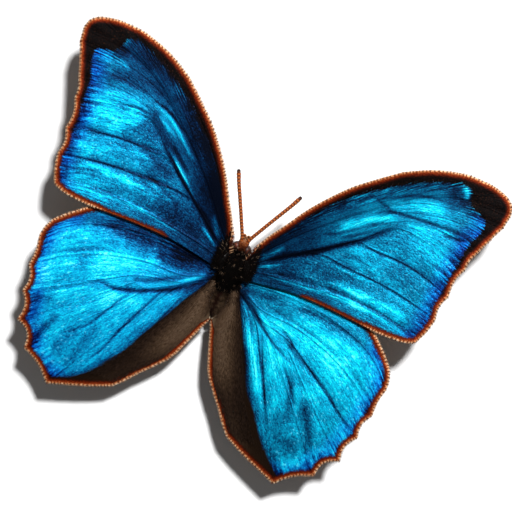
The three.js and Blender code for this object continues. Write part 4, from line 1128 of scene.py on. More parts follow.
# %% Thorax hair
def combed(points, out):
    """Direction of the hair: backwards, and outwards from the midline."""
    side = np.sign(points[:, 0]) * np.minimum(1, np.abs(points[:, 0]) / 2)
    return np.column_stack([out * side, np.full(len(points), -1.0), np.zeros(len(points))])


def pale_flecked(roots, count, reach, pale, dark):
    """Shades in the dark range, and in the pale one near a few random spots."""
    spots = roots[rng.integers(0, len(roots), count)]
    gaps = np.linalg.norm(roots[:, None] - spots[None], axis=2)
    return np.where(gaps.min(1) < reach, rng.uniform(*pale, len(roots)), rng.uniform(*dark, len(roots)))


body_coats = []
for number in range(2):
    u, v, roots, normals = scatter(body_skin, 11500, THORAX_SPAN)
    top = smoothstep(roots[:, 2], 8.0, 11.0)
    lie = combed(roots, 0.5) + rng.normal(0, 0.26, roots.shape)
    length = (1.1 + 0.9 * top) * rng.uniform(0.7, 1.15, len(roots))
    shade = pale_flecked(roots, 42, 0.22, (0.6, 1), (0, 0.5))
    body_coats.append(coat(f"thorax_hair_{number + 1}", LONG_BLADE, roots - 0.03 * normals, normals, lie,
                           length, rng.uniform(0.035, 0.06, len(roots)), rng.uniform(38, 62, len(roots)),
                           rng.uniform(14, 30, len(roots)), np.column_stack([u, v]), shade))

# %% [markdown]
# A collar of longer hair stands round the neck. It fans out sideways and forwards, over the first
# millimetres of the forewings, and closes the gap between them and the head.

# %% Collar
u, v, roots, normals = scatter(body_skin, 5200, (body_share(2.4), body_share(-3.0)),
                               lambda u, v, points: (points[:, 2] > 8.0) * (np.abs(points[:, 0]) > 0.7))
ahead = rng.uniform(-0.2, 0.75, len(roots))
lie = np.column_stack([np.sign(roots[:, 0]), ahead, rng.uniform(-0.1, 0.25, len(roots))])
shade = pale_flecked(roots, 18, 0.2, (0.6, 1), (0, 0.5))
body_coats.append(coat("collar_hair", LONG_BLADE, roots - 0.03 * normals, normals, lie,
                       rng.uniform(1.3, 2.5, len(roots)), rng.uniform(0.04, 0.065, len(roots)),
                       rng.uniform(20, 50, len(roots)), rng.uniform(6, 26, len(roots)),
                       np.column_stack([u, v]), shade))

# %% [markdown]
# ## Head, abdomen and wing roots
#
# The hair on the head is short, forward on the brow and backward on the crown, and rust-coloured between
# the feelers. The abdomen carries flat short scales that lie close. Over the wing roots the thorax's hair
# runs out onto the films, and along the hindwings' inner edges fine brown hair follows the fold.

# %% Head hair
EYE_CENTRE = np.array([1.65, 4.1, 9.7])
EYE_RADII = np.array([1.25, 1.55, 1.75])


def clear_of_eyes(u, v, points):
    """No hair where an eye sits."""
    gap = (points * np.sign(points[:, :1]) ** [1, 0, 0] - EYE_CENTRE) / EYE_RADII
    return (np.linalg.norm(gap, axis=1) > 0.94).astype(float)


u, v, roots, normals = scatter(body_skin, 10500, HEAD_SPAN, clear_of_eyes)
brow = smoothstep(roots[:, 1], 3.6, 5.6)
lie = combed(roots, 0.8) * (1 - 2 * brow)[:, None] + [0, 0, 0.5] * brow[:, None]
lie = lie + rng.normal(0, 0.3, roots.shape)
length = rng.uniform(0.5, 1.0, len(roots)) * (1 + 0.25 * brow)
shade = pale_flecked(roots, 14, 0.18, (0.7, 1), (0, 0.6))
body_coats.append(coat("head_hair", LONG_BLADE, roots - 0.02 * normals, normals, lie, length,
                       rng.uniform(0.025, 0.045, len(roots)), rng.uniform(45, 75, len(roots)),
                       rng.uniform(25, 50, len(roots)), np.column_stack([u, v]), shade))

# %% Abdomen scales
u, v, roots, normals = scatter(body_skin, 9000, ABDOMEN_SPAN)
lie = combed(roots, 0.3) + rng.normal(0, 0.12, roots.shape)
body_coats.append(coat("abdomen_scales", SHORT_BLADE, roots - 0.02 * normals, normals, lie,
                       rng.uniform(0.7, 1.3, len(roots)), rng.uniform(0.04, 0.06, len(roots)),
                       rng.uniform(14, 26, len(roots)), rng.uniform(6, 14, len(roots)),
                       np.column_stack([u, v]), rng.uniform(0, 0.7, len(roots))))

# %% Hair on the wing films
def film_top(x, y, hind):
    """Height of a film's middle and its upward normal at plan points with x to the right."""
    def level(a, b):
        drop = HIND_BELOW_FORE + inner_fold(a, b) if hind else 0
        return sheet_height(a, b) - drop

    z = level(x, y)
    slope = np.column_stack([(level(x + 0.1, y) - z) / 0.1, (level(x, y + 0.1) - z) / 0.1])
    return z, unit(np.column_stack([-slope, np.ones(len(x))]))


def film_unwrap(points):
    """A place in the unwrap for each place on the wings."""
    return np.column_stack([(70 + points[:, 0]) / 140, (60 + points[:, 1]) / 120])


def film_hair(name, mirrored, hind, count, spread, lie, length, width, rest, shade, blade_shape=SHORT_BLADE):
    """Hair rooted on a film where spread(x, y) is high; shade(x, y) says how pale it is."""
    box = ((2, 30), (-52, -5)) if hind else ((2, 9), (-4.6, 11))
    x, y = (rng.uniform(*side, count * 14) for side in box)
    keep = np.flatnonzero(rng.random(len(x)) < spread(x, y))[:count]
    x, y = x[keep], y[keep]
    z, normals = film_top(x, y, hind)
    roots = np.column_stack([x, y, z])
    way = lie(x, y) + rng.normal(0, 0.16, roots.shape)
    flip = hand(mirrored)
    return coat(name, blade_shape, (roots + 0.05 * normals) * flip, normals * flip, way * flip,
                rng.uniform(*length, len(x)), rng.uniform(*width, len(x)), rng.uniform(16, 34, len(x)),
                rng.uniform(*rest, len(x)), film_unwrap(roots * flip), shade(x, y))


def clumps(x, y, size):
    """A rough pattern of tufts, from 0 to 1, out of crossing waves."""
    one = np.sin(2.1 * x / size + 1.3 * np.sin(1.7 * y / size))
    other = np.sin(1.9 * y / size + 1.1 * np.sin(2.3 * x / size))
    return 0.5 + 0.5 * (one * other)


def root_spread(x, y):
    """How thick the thorax's hair stands on the forewing's root."""
    reach = 6.6 - 0.10 * np.maximum(0, y - 1) ** 1.6 - 0.06 * np.maximum(0, -2 - y) ** 1.8
    costa = np.interp(y, [0.6, 3.2, 6.6, 10.3, 15.3], [2.6, 3.7, 4.2, 5.9, 9.1])
    inside = (1 - smoothstep(x, reach - 3.2, reach + 0.3)) * (x > costa + 0.1)
    return inside * (0.35 + 0.65 * clumps(x, y, 0.5))


def hind_root_spread(x, y):
    """How thick the thorax's hair stands on the hindwing's root."""
    reach = 6.0 - 0.1 * np.maximum(0, -6 - y) ** 1.3
    return (1 - smoothstep(x, reach - 2.8, reach + 0.3)) * (y > -13) * (0.35 + 0.65 * clumps(x, y, 0.5))


def root_shade(x, y):
    """Nearly black, with a few pale tufts."""
    return np.where(clumps(x + 3, y, 0.33) > 0.975, rng.uniform(0.75, 1, len(x)), rng.uniform(0, 0.5, len(x)))


FOLD_INNER = [(-y, x) for x, y in HIND_RAYS[-1][1]]
FOLD_OUTER = [(7.4, 4.6), (10.5, 5.6), (15.6, 9.0), (21.4, 12.0), (29.2, 15.2), (35.6, 18.9), (40.6, 22.5),
              (45.6, 26.0), (49.6, 30.0)]


def fold_across(x, y):
    """0 at the fold's inner edge and 1 at its outer line."""
    inner = np.interp(-y, *np.transpose(FOLD_INNER))
    outer = np.interp(-y, *np.transpose(FOLD_OUTER))
    return (x - inner) / (outer - inner)


def fold_spread(x, y):
    """How thick the brown hair stands on the fold."""
    across = fold_across(x, y)
    bare_rim = x - np.interp(-y, *np.transpose(FOLD_INNER)) < 1.5
    inside = (across > 0.01) * (across < 0.94) * (y < -8) * (y > -48) * ~(bare_rim * (y < -19.2))
    return inside * (0.4 + 0.6 * np.exp(-3 * across)) * (1 - 0.5 * smoothstep(-y, 24, 48))


def fold_lie(x, y):
    """Backward and outward, but inward over the abdomen where the fold lies against it."""
    beside = (1 - smoothstep(fold_across(x, y), 0.02, 0.24)) * smoothstep(y, -19.6, -18)
    return np.column_stack([0.42 - 1.3 * beside, -1 + 0 * x, 0.25 * beside])


def fold_painted_light(x, y):
    """A painted highlight along the middle of the fold's curve; darker towards its outer line and rear
    corner.
    """
    middle = np.exp(-((fold_across(x, y) - 0.4) / 0.34) ** 2)
    tone = (0.12 + 0.55 * middle) * (1 - 0.8 * smoothstep(-y, 27, 42))
    return np.clip(tone + rng.normal(0, 0.07, len(x)), 0, 1)


film_coats, fold_coats = [], []
for side, mirrored in SIDES:
    film_coats.append(film_hair("forewing_root_hair_" + side, mirrored, False, 3600, root_spread,
                                lambda x, y: np.column_stack([0.9 + 0 * x, 0.16 * y + 0.25, 0 * x]),
                                (0.7, 1.7), (0.035, 0.06), (6, 20), root_shade, LONG_BLADE))
    film_coats.append(film_hair("hindwing_root_hair_" + side, mirrored, True, 2600, hind_root_spread,
                                lambda x, y: np.column_stack([0.8 + 0 * x, -0.5 + 0.1 * (y + 8), 0 * x]),
                                (0.7, 1.6), (0.035, 0.055), (6, 18), root_shade, LONG_BLADE))
    fold_coats.append(film_hair("fold_hair_" + side, mirrored, True, 8200, fold_spread,
                                fold_lie, (1.2, 2.4), (0.03, 0.05), (2, 7), fold_painted_light))

# %% [markdown]
# ## The fringe
#
# A wing ends in a fringe of narrow scales that stand out past the membrane. They are rust brown with pale
# tips, in clumps that alternate along the edge. The right front edge wears them shorter and the left one
# longer. Near the root the fringe turns dark and long, with a few cream hairs, and reaches to the head.

# %% Fringe
FRINGE_STEP = 0.05
FRINGE_INSET = 0.24
COSTA_END = (60.0, 72.0)
REAR_SHARE = 0.6


def fringe(name, plan, mirrored, hind):
    """Scales that stand out from a wing's edge."""
    edge, run = wing_edge(plan)
    place = np.arange(0.6, run[-1] - 3.0, FRINGE_STEP)
    place = place + rng.uniform(-0.4, 0.4, len(place)) * FRINGE_STEP
    spot = np.column_stack([np.interp(place, run, edge[:, k]) for k in (0, 1)])
    if hind:
        hidden = (spot[:, 0] < 12) * (spot[:, 1] > -19)
    else:
        hidden = (place > REAR_SHARE * run[-1]) * (spot[:, 0] < 22)
    place, spot = place[~hidden], spot[~hidden]
    ahead = unit(np.column_stack([np.interp(place + 0.4, run, edge[:, k]) for k in (0, 1)]) - spot)
    outward = np.column_stack([-ahead[:, 1], ahead[:, 0]])
    spot = spot - FRINGE_INSET * outward
    z, normals = film_top(spot[:, 0], spot[:, 1], hind)
    front = (1 - smoothstep(place, *COSTA_END)) * (not hind)
    near_root = (1 - smoothstep(place, 3.0, 9.0)) * (not hind)
    wave = -np.sin(2 * np.pi * uneven(place) / CLUMP_PERIOD) * (0.6 + 0.4 * np.sin(place / 2.9))
    length = rng.uniform(0.5, 0.8, len(place)) * (1 - 0.12 * wave) * (1 - (0.4 - 0.6 * mirrored) * front)
    length = length + near_root * rng.uniform(0.5, 1.2, len(place))
    shade = np.clip(0.54 + 0.5 * wave + rng.normal(0, 0.16, len(place)), 0, 1) * (1 - near_root)
    shade = shade + 0.6 * near_root * (length > 1.57 + 0.38 * mirrored)
    if not hind:
        over_hindwing = (place > REAR_SHARE * run[-1]) * (spot[:, 0] < 45)
        shade = shade * (1 - 0.8 * over_hindwing)
    lie = np.column_stack([outward + 0.3 * ahead, np.zeros(len(place))]) + rng.normal(0, 0.1, (len(place), 3))
    flip = hand(mirrored)
    roots = np.column_stack([spot, z]) * flip
    return coat(name, SHORT_BLADE, roots, normals * flip, lie * flip, length,
                rng.uniform(0.03, 0.05, len(place)) * (1 + 1.5 * near_root), rng.uniform(4, 20, len(place)),
                rng.uniform(-4, 10, len(place)), film_unwrap(roots), shade)


fringes = []
for side, mirrored in SIDES:
    fringes.append(fringe("forewing_fringe_" + side, fore_plan, mirrored, False))
    fringes.append(fringe("hindwing_fringe_" + side, hind_plan, mirrored, True))

# %% [markdown]
# ## Eyes
#
# A compound eye is a dome of thousands of lenses. It is set into the side of the head and stands clear of
# the hair. The lenses are 0.02 mm across; they are drawn here at 0.09 mm, so that the honeycomb shows.

# %% Eyes
eyes = []
for side, mirrored in SIDES:
    bm = bmesh.new()
    bmesh.ops.create_icosphere(bm, subdivisions=6, radius=1)
    centre = metres([EYE_CENTRE * hand(mirrored)])[0]
    bmesh.ops.scale(bm, vec=[r / 1000 for r in EYE_RADII], verts=bm.verts)
    bmesh.ops.translate(bm, vec=centre, verts=bm.verts)
    for face in bm.faces:
        face.smooth = True
    eyes.append(finish_piece("eye_dome_" + side, bm, ("eye_" + side,)))

# %% [markdown]
# ## Limbs
#
# A feeler, a leg and the tongue are all tubes of cuticle that taper and swell. Each is a line of points
# with a radius, and the ring at each place stands square to the line. Feelers are beaded, legs have
# joints, and the tongue is ringed like a hose so that it can coil.

# %% A tube along a line
TUBE_POINTS = 600
TUBE_END = 0.008


def along_line(points, beads=0.0, depth=0.0):
    """A shape function for a tube; beads is how many rings it carries and depth how deep they are cut."""
    line = smooth_path(points, TUBE_POINTS)
    ahead = unit(np.gradient(line[:, :3], axis=0))
    side = unit(np.cross(ahead, [0.0, 0.0, 1.0]) + [1e-6, 0, 0])
    up = np.cross(side, ahead)

    def shape(u, v):
        at = v * (TUBE_POINTS - 1)
        low = np.clip(at.astype(int), 0, TUBE_POINTS - 2)
        part = (at - low)[:, None]
        centre, ways, ups = (row[low] * (1 - part) + row[low + 1] * part for row in (line, side, up))
        from_end = np.minimum(v, 1 - v)
        dome = np.sqrt(np.clip(1 - (1 - from_end / TUBE_END) ** 2, 0, 1))
        end = np.where(from_end < TUBE_END, dome, 1)
        radius = centre[:, 3] * end * (1 - depth * np.abs(np.cos(np.pi * beads * v)) ** 6)
        turn = 2 * np.pi * u
        ring = ways[:, :3] * (radius * np.cos(turn))[:, None] + ups[:, :3] * (radius * np.sin(turn))[:, None]
        return centre[:, :3] + ring

    return shape


def handed(points, mirrored):
    """A line with radii, on the wanted side."""
    return [((-x if mirrored else x), *rest) for x, *rest in points]


def tube_coat(name, shape, count, span, length, width, rise, rest, shade, blade_shape=SHORT_BLADE):
    """Scales or bristles on a tube, lying towards its tip; none reaches through the table."""
    u, v, roots, _ = scatter(shape, count, span)
    normals = unit(roots - np.mean([shape((u + turn) % 1, v) for turn in (0, 0.25, 0.5, 0.75)], axis=0))
    ahead = unit(shape(u, np.minimum(v + 0.01, 1)) - roots)
    reach = rng.uniform(*length, len(roots))
    clear = roots[:, 2] + reach * np.minimum(0, ahead[:, 2] + 0.5 * normals[:, 2]) > 0.05
    u, v, roots, normals, ahead, reach = (part[clear] for part in (u, v, roots, normals, ahead, reach))
    return coat(name, blade_shape, roots - 0.02 * normals, normals, ahead + rng.normal(0, 0.15, roots.shape),
                reach, rng.uniform(*width, len(roots)), rng.uniform(*rise, len(roots)),
                rng.uniform(*rest, len(roots)), np.column_stack([u, v]), rng.uniform(*shade, len(roots)))


# %% Feelers, palps and tongue
ANTENNA = [(0.8, 5.2, 10.0, 0.6), (0.95, 6.0, 10.7, 0.62), (1.15, 7.0, 11.4, 0.6),
           (3.5, 11.8, 13.4, 0.6), (6.4, 17.4, 15.0, 0.62), (8.7, 21.8, 16.0, 0.64),
           (9.8, 24.2, 16.5, 0.68), (10.3, 25.3, 16.7, 0.46)]
PALP = [(0.8, 5.2, 8.6, 0.3), (0.85, 6.2, 8.1, 0.4), (0.85, 6.9, 8.2, 0.46), (0.8, 7.45, 9.2, 0.5),
        (0.76, 7.7, 10.0, 0.42), (0.72, 7.75, 10.5, 0.3), (0.7, 7.7, 10.9, 0.14)]
ANTENNA_BEADS = 23
COIL_TURNS = 1.75
COIL_STEPS = 28
COIL_OUTER = 1.55
COIL_INNER = 0.45
COIL_FORWARD = 6.3
COIL_HEIGHT = 6.5
coil = [(0, 5.3, 8.6, 0.26)]
for step in range(COIL_STEPS + 1):
    share = step / COIL_STEPS
    angle = math.pi * 0.62 - 2 * math.pi * COIL_TURNS * share
    radius = COIL_OUTER + (COIL_INNER - COIL_OUTER) * share
    coil.append((0, COIL_FORWARD + radius * math.cos(angle), COIL_HEIGHT + radius * math.sin(angle),
                 0.24 - 0.1 * share))
tongue = closed_form("tongue", along_line(coil, 60, 0.14), 14, 420, ("proboscis",))
feelers, palps = [], []
for side, mirrored in SIDES:
    feelers.append(closed_form("feeler_" + side, along_line(handed(ANTENNA, mirrored), ANTENNA_BEADS, 0.2),
                               14, 470, ("antenna_" + side,)))
    palps.append(closed_form("palp_core_" + side, along_line(handed(PALP, mirrored)), 16, 60,
                             ("palp_" + side,)))

# %% Palp scales
palp_coats = []
for side, mirrored in SIDES:
    core = along_line(handed(PALP, mirrored))
    palp_coats.append(tube_coat("palp_scales_" + side, core, 2600, (0.06, 0.97), (0.4, 0.85), (0.03, 0.05),
                                (30, 50), (14, 28), (0.2, 1)))

# %% [markdown]
# Over each forewing's root lies a small lobe, the tegula, packed with scales. It covers the hinge.

# %% Tegulae
TEGULA = [(2.7, 1.3, 11.6, 0.2), (3.3, 0.6, 12.1, 0.7), (3.9, -0.7, 12.4, 0.92), (4.25, -2.1, 12.4, 0.74),
          (4.4, -3.3, 12.3, 0.28)]
tegulae, tegula_coats = [], []
for side, mirrored in SIDES:
    lobe = along_line(handed(TEGULA, mirrored))
    tegulae.append(closed_form("tegula_" + side, lobe, 24, 30))
    tegula_coats.append(tube_coat("tegula_hair_" + side, lobe, 1500, (0.03, 0.97), (0.6, 1.1), (0.035, 0.055),
                                  (24, 44), (10, 24), (0, 0.62), LONG_BLADE))

# %% [markdown]
# ## Legs
#
# This family stands on four legs. The forelegs are short brushes folded under the neck. A walking leg has
# a thick femur, a thinner tibia with two spurs and rows of spines, and a foot of five short joints that
# ends in a pair of claws.

# %% Lines of the legs
FORELEG = [(1.3, 0.6, 7.4, 0.42), (1.9, 0.9, 5.9, 0.38), (2.5, 2.6, 5.4, 0.36), (2.6, 4.4, 6.0, 0.3),
           (2.3, 4.0, 7.0, 0.26), (2.5, 3.0, 7.2, 0.16)]
MIDLEG = [(1.2, -3.6, 6.6, 0.7), (2.6, -3.6, 5.0, 0.5), (3.0, -3.4, 5.1, 0.3), (4.6, -2.6, 6.2, 0.42),
          (6.6, -1.5, 7.2, 0.4), (8.4, -0.6, 8.0, 0.32), (9.1, 0.0, 7.9, 0.24), (9.5, 0.5, 7.2, 0.28),
          (10.4, 1.8, 4.8, 0.24), (11.2, 3.0, 2.6, 0.22), (11.8, 4.1, 0.72, 0.2), (12.0, 4.6, 0.3, 0.16),
          (12.4, 6.4, 0.24, 0.2), (13.0, 9.0, 0.24, 0.2)]
HINDLEG = [(1.2, -7.4, 6.6, 0.7), (2.4, -7.8, 5.0, 0.5), (2.8, -8.1, 5.1, 0.3), (4.2, -9.2, 6.2, 0.42),
           (6.2, -10.8, 7.2, 0.4), (8.0, -12.0, 8.0, 0.32), (8.7, -12.6, 7.9, 0.24),
           (9.2, -13.0, 7.2, 0.28), (10.4, -14.4, 4.8, 0.24), (11.6, -15.6, 2.6, 0.22),
           (12.4, -16.5, 0.72, 0.2), (12.6, -17.0, 0.3, 0.16), (13.4, -18.6, 0.24, 0.2),
           (14.2, -21.0, 0.24, 0.2)]


def standing(shape):
    """Keeps a leg's shape above the table, with its sole flattened on it."""
    def flattened(u, v):
        points = shape(u, v)
        points[:, 2] = np.maximum(points[:, 2], 0.005)
        return points

    return flattened


legs, leg_coats, claws = [], [], []
for side, mirrored in SIDES:
    brush = along_line(handed(FORELEG, mirrored))
    legs.append(closed_form("foreleg_brush_" + side, brush, 14, 90, ("foreleg_" + side,)))
    leg_coats.append(tube_coat("foreleg_hair_" + side, brush, 1600, (0.04, 0.97), (0.5, 1.0), (0.025, 0.04),
                               (30, 55), (12, 30), (0.1, 1), LONG_BLADE))
    for name, line in (("midleg", MIDLEG), ("hindleg", HINDLEG)):
        limb = standing(along_line(handed(line, mirrored)))
        legs.append(closed_form(name + "_skin_" + side, limb, 16, 220, (name + "_" + side,)))
        leg_coats.append(tube_coat(name + "_scales_" + side, limb, 1700, (0.02, 0.97), (0.25, 0.5),
                                   (0.025, 0.04), (14, 30), (4, 14), (0, 0.8)))
        claws.append(tube_coat(name + "_spines_" + side, limb, 90, (0.56, 0.98), (0.35, 0.6), (0.03, 0.045),
                               (30, 55), (24, 45), (0, 0.4), LONG_BLADE))

# %% [markdown]
# Two curved claws end each foot, and two longer spurs stand at the end of each tibia.

# %% Claws and spurs
def hooks(name, foot, knee, mirrored):
    """Two claws at the end of a foot and two spurs at the end of a tibia; lines are (root, direction)."""
    (tip, onward), (ankle, down) = foot, knee
    across = np.cross(onward, [0, 0, 1.0])
    roots = np.array([tip + 0.08 * across, tip - 0.08 * across, ankle + 0.1 * across, ankle - 0.1 * across])
    lie = np.array([onward + 0.5 * across, onward - 0.5 * across, down + 0.35 * across, down - 0.35 * across])
    normals = np.tile([0, 0, 1.0], (4, 1))
    flip = hand(mirrored)
    unwrap = np.column_stack([np.linspace(0.2, 0.8, 4), np.full(4, 0.5)])
    return coat(name, LONG_BLADE, roots * flip, normals, lie * flip, np.array([0.55, 0.55, 0.8, 0.8]),
                np.full(4, 0.06), np.array([30, 30, 10, 10]), np.array([-6, -6, -34, -34]), unwrap,
                np.full(4, 0.1))


for side, mirrored in SIDES:
    for name, line in (("midleg", MIDLEG), ("hindleg", HINDLEG)):
        spots = np.array([point[:3] for point in line])
        onward, down = unit(spots[[-1, -3]] - spots[[-2, -5]])
        claws.append(hooks(name + "_claws_" + side, (spots[-1] + [0, 0, 0.02], onward), (spots[-4], down),
                           mirrored))

# %% [markdown]
# ## Finishes of body and limbs
#
# Skin and hair carry the same markings, so one function paints both: nearly black on the thorax, rust
# between the feelers, and brown behind the thorax with a darker line along the middle. Cuticle has the
# soft gloss of horn; the hairs are duller, darker at their roots and paler at their tips.

# %% Markings shared by skin and coat
def markings(tree, light):
    """Body colour from the place on the body and a shade from 0 to 1."""
    spot = node(tree, "TexCoord", out=3)
    place = node(tree, "SeparateXYZ", {0: spot}, out=1)
    dark = node(tree, "ValToRGB", {"Fac": light}, stops=[
        (0.0, "010101"), (0.4, "050302"), (0.66, "120906"), (0.84, "46301F"), (1.0, "B89C84")])
    paler = node(tree, "MapRange", {"Value": place, 1: (SLIDE + 4.4) / 1000, 2: (SLIDE + 7.2) / 1000,
                                    3: -0.1, 4: 0.3})
    lighter = node(tree, "Math", {0: light, 1: paler}, operation="ADD")
    rust = node(tree, "ValToRGB", {"Fac": lighter}, stops=[
        (0.0, "1E0803"), (0.35, "66280F"), (0.65, "A85C30"), (0.85, "DCA070"), (1.0, "F4DCB4")])
    patchy = node(tree, "TexNoise", {"Vector": spot, "Scale": 1100.0, "Detail": 2.0})
    ragged = node(tree, "Math", {0: patchy, 1: 0.0032, 2: place}, operation="MULTIPLY_ADD")
    brow = node(tree, "MapRange", {"Value": ragged, 1: (SLIDE + 4.8) / 1000, 2: (SLIDE + 6.2) / 1000})
    brown = node(tree, "ValToRGB", {"Fac": light}, stops=[(0.0, "24170F"), (0.3, "4A3828"), (0.7, "78604A")])
    across = node(tree, "Math", {0: node(tree, "SeparateXYZ", {0: spot}), 1: 0.0006}, operation="ADD")
    seam = node(tree, "Math", {0: node(tree, "Math", {0: across}, operation="ABSOLUTE"), 1: 0.0022},
                operation="DIVIDE")
    seam = node(tree, "MapRange", {"Value": node(tree, "Math", {0: seam, 1: patchy}, operation="ADD"),
                                   1: 0.6, 2: 1.1, 3: 0.9, 4: 0.0})
    brown = node(tree, "Mix", {0: seam, 6: brown, 7: srgb("240B08")}, out=2, data_type="RGBA")
    behind = node(tree, "MapRange", {"Value": ragged, 1: (SLIDE - 10.4) / 1000, 2: (SLIDE - 8.4) / 1000,
                                     3: 1.0, 4: 0.0})
    dark = node(tree, "Mix", {0: behind, 6: dark, 7: brown}, out=2, data_type="RGBA")
    return node(tree, "Mix", {0: brow, 6: dark, 7: rust}, out=2, data_type="RGBA")


# %% Cuticle and hair
def cuticle(name, colour, roughness=0.4, gloss=0.5):
    """Insect cuticle: tanned chitin with a horn-like gloss. Its colour is a ramp or a markings function."""
    material, tree = new_material(name)
    spot = node(tree, "TexCoord", out=3)
    grain = node(tree, "TexNoise", {"Vector": spot, "Scale": 1800.0, "Detail": 4.0})
    bump = node(tree, "Bump", {"Height": grain, "Distance": 0.00002})
    base = colour(tree, grain) if callable(colour) else node(tree, "ValToRGB", {"Fac": grain}, stops=colour)
    shader = node(tree, "BsdfPrincipled", {"Base Color": base, "Roughness": roughness, "IOR": 1.56,
                                           "Specular IOR Level": gloss, "Normal": bump})
    node(tree, "OutputMaterial", {"Surface": shader})
    return material


def hair(name, colour):
    """Hair scales: hollow flattened chitin, dull. Their colour is a ramp or a markings function."""
    material, tree = new_material(name)
    shade = node(tree, "Attribute", attribute_name="shade", out=2)
    run = node(tree, "Attribute", attribute_name="run", out=2)
    light = node(tree, "Math", {0: run, 1: 0.18, 2: shade}, operation="MULTIPLY_ADD")
    base = colour(tree, light) if callable(colour) else node(tree, "ValToRGB", {"Fac": light}, stops=colour)
    shader = node(tree, "BsdfPrincipled", {"Base Color": base, "Roughness": 0.6, "Specular IOR Level": 0.07})
    node(tree, "OutputMaterial", {"Surface": shader})
    return material


def banded(tree, _):
    """A feeler's rings: tan with a darker seam between each two, and a dark club."""
    along = node(tree, "SeparateXYZ", {0: node(tree, "UVMap", uv_map="OFBake")}, out=1)
    rings = node(tree, "Math", {0: node(tree, "Math", {0: along, 1: ANTENNA_BEADS}, operation="MULTIPLY")},
                 operation="FRACT")
    tan = node(tree, "ValToRGB", {"Fac": rings}, stops=[
        (0.0, "4E1C08"), (0.25, "8A4018"), (0.5, "BC6C34"), (0.75, "8A4018"), (1.0, "4E1C08")])
    club = node(tree, "MapRange", {"Value": along, 1: 0.95, 2: 0.98})
    return node(tree, "Mix", {0: club, 6: tan, 7: srgb("2A1208")}, out=2, data_type="RGBA")


body_cuticle = cuticle("dark_body_cuticle", markings, 0.5)
body_hair = hair("dark_hair_scales", markings)
fold_hair = hair("brown_fold_hair", [(0.0, "0E0805"), (0.3, "33231A"), (0.6, "5C4735"), (1.0, "806854")])
root_hair = hair("black_root_hair", [(0.0, "010101"), (0.5, "060302"), (0.75, "180C07"), (0.92, "4A3626"),
                                     (1.0, "9C8674")])
palp_hair = hair("rust_palp_scales", [(0.0, "4A200E"), (0.5, "B06434"), (1.0, "E8B888")])
leg_hair = hair("brown_leg_scales", [(0.0, "160C07"), (0.5, "3A2617"), (1.0, "7E6248")])
fringe_scales = hair("rust_and_cream_fringe", [(0.0, "0C0402"), (0.14, "3A1608"), (0.3, "7A3818"),
                                               (0.5, "B46C42"), (0.75, "DCB488"), (1.0, "F2E2C6")])
leg_cuticle = cuticle("brown_leg_cuticle", [(0.3, "1A0F09"), (0.6, "3C2616"), (0.8, "6A4A2E")], 0.42)
claw_cuticle = cuticle("black_claw_cuticle", [(0.3, "0C0705"), (0.8, "2A1A10")], 0.3)
tongue_cuticle = cuticle("brown_tongue_cuticle", [(0.3, "3A1D10"), (0.7, "7A4A28")], 0.32)
feeler_cuticle = cuticle("tan_feeler_cuticle", banded, 0.6, 0.15)
for group, finish in (([body], body_cuticle), (tegulae, body_cuticle), (body_coats, body_hair),
                      (tegula_coats, root_hair), (fold_coats, fold_hair), (film_coats, root_hair),
                      (fringes, fringe_scales), (palp_coats, palp_hair), (palps, palp_hair),
                      (legs, leg_cuticle), (leg_coats, leg_hair), (claws, claw_cuticle),
                      ([tongue], tongue_cuticle), (feelers, feeler_cuticle)):
    for piece in group:
        piece.data.materials.append(finish)
    print(finish.name, "on", len(group), "pieces")

# %% The eye's lenses
eye_lens, tree = new_material("dark_compound_eye")
spot = node(tree, "TexCoord", out=3)
cells = node(tree, "TexVoronoi", {"Vector": spot, "Scale": 11000.0}, feature="DISTANCE_TO_EDGE")
dome = node(tree, "Bump", {"Height": cells, "Distance": 0.00003, "Strength": 0.7})
band = node(tree, "TexNoise", {"Vector": spot, "Scale": 900.0})
tint = node(tree, "ValToRGB", {"Fac": band}, stops=[(0.35, "180804"), (0.58, "3C170A"), (0.72, "6E3418")])
shader = node(tree, "BsdfPrincipled", {"Base Color": tint, "Roughness": 0.45, "IOR": 1.4,
                                       "Normal": dome})
node(tree, "OutputMaterial", {"Surface": shader})
for piece in eyes:
    piece.data.materials.append(eye_lens)

# %% [markdown]
# ## Floor, light and camera
#
# The insect stands on a plain white table. One soft light hangs off the insect's right side, so the wings
# throw a short soft shadow past their left edges, and a wide weak light fills the rest.

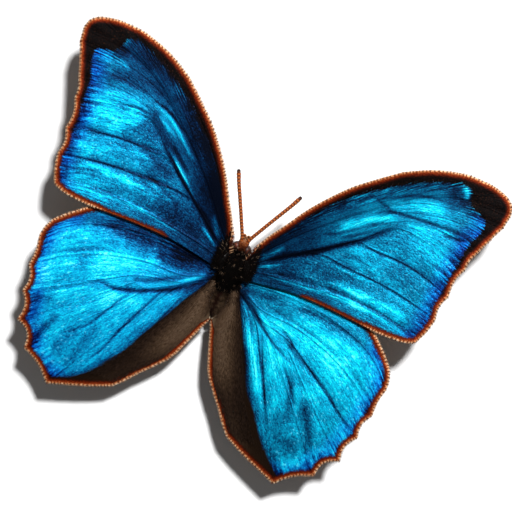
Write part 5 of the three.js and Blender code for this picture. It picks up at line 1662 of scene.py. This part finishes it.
# %% Floor
bm = bmesh.new()
bmesh.ops.create_grid(bm, x_segments=1, y_segments=1, size=3)
floor_mesh = bpy.data.meshes.new("floor")
bm.to_mesh(floor_mesh)
bm.free()
floor = bpy.data.objects.new("floor", floor_mesh)
bpy.context.collection.objects.link(floor)
white, tree = new_material("matt_white_table")
shader = node(tree, "BsdfPrincipled", {"Base Color": srgb("F7F7F7"), "Roughness": 0.9,
                                       "Specular IOR Level": 0.2})
node(tree, "OutputMaterial", {"Surface": shader})
floor_mesh.materials.append(white)

# %% Lights
AIM = Vector((0.00495, 0.00636, 0.008))
LIGHT_LEAN = math.radians(30)
LIGHT_DISTANCE = 1.6
LIGHT_SIZE = 0.22
LIGHT_POWER = 40
SKY_STRENGTH = 0.095
UP_IN_VIEW = Vector((-0.4053, 0.9142, 0))
RIGHT_IN_VIEW = Vector((0.9142, 0.4053, 0))

sideways = (RIGHT_IN_VIEW * 0.55 + UP_IN_VIEW * 0.835).normalized()
towards_light = sideways * math.sin(LIGHT_LEAN) + Vector((0, 0, math.cos(LIGHT_LEAN)))
key = bpy.data.lights.new("key", "AREA")
key.shape = "DISK"
key.size = LIGHT_SIZE
key.energy = LIGHT_POWER
lamp = bpy.data.objects.new("key", key)
lamp.location = AIM + towards_light.normalized() * LIGHT_DISTANCE
lamp.rotation_euler = (-towards_light).to_track_quat("-Z", "Y").to_euler()
bpy.context.collection.objects.link(lamp)
world = bpy.data.worlds.new("studio")
bpy.context.scene.world = world
world.use_nodes = True
world.node_tree.nodes["Background"].inputs["Color"].default_value = srgb("FFFFFF")
world.node_tree.nodes["Background"].inputs["Strength"].default_value = SKY_STRENGTH
bpy.context.scene.view_settings.view_transform = "Standard"

# %% Camera
VIEW_WIDTH = 0.1536
FRAMED_LEVEL = 0.015
LENS = 135
lens = bpy.data.cameras.new("camera")
lens.lens = LENS
lens.clip_start = 0.01
camera = bpy.data.objects.new("camera", lens)
height = VIEW_WIDTH * LENS / lens.sensor_width
camera.matrix_world = Matrix.Translation((AIM.x, AIM.y, FRAMED_LEVEL + height)) @ Matrix((
    (RIGHT_IN_VIEW.x, UP_IN_VIEW.x, 0), (RIGHT_IN_VIEW.y, UP_IN_VIEW.y, 0), (0, 0, 1))).to_4x4()
bpy.context.collection.objects.link(camera)
bpy.context.scene.camera = camera
print("camera height, m:", round(camera.location.z, 3))

# %% Update the scene
bpy.context.view_layer.update()
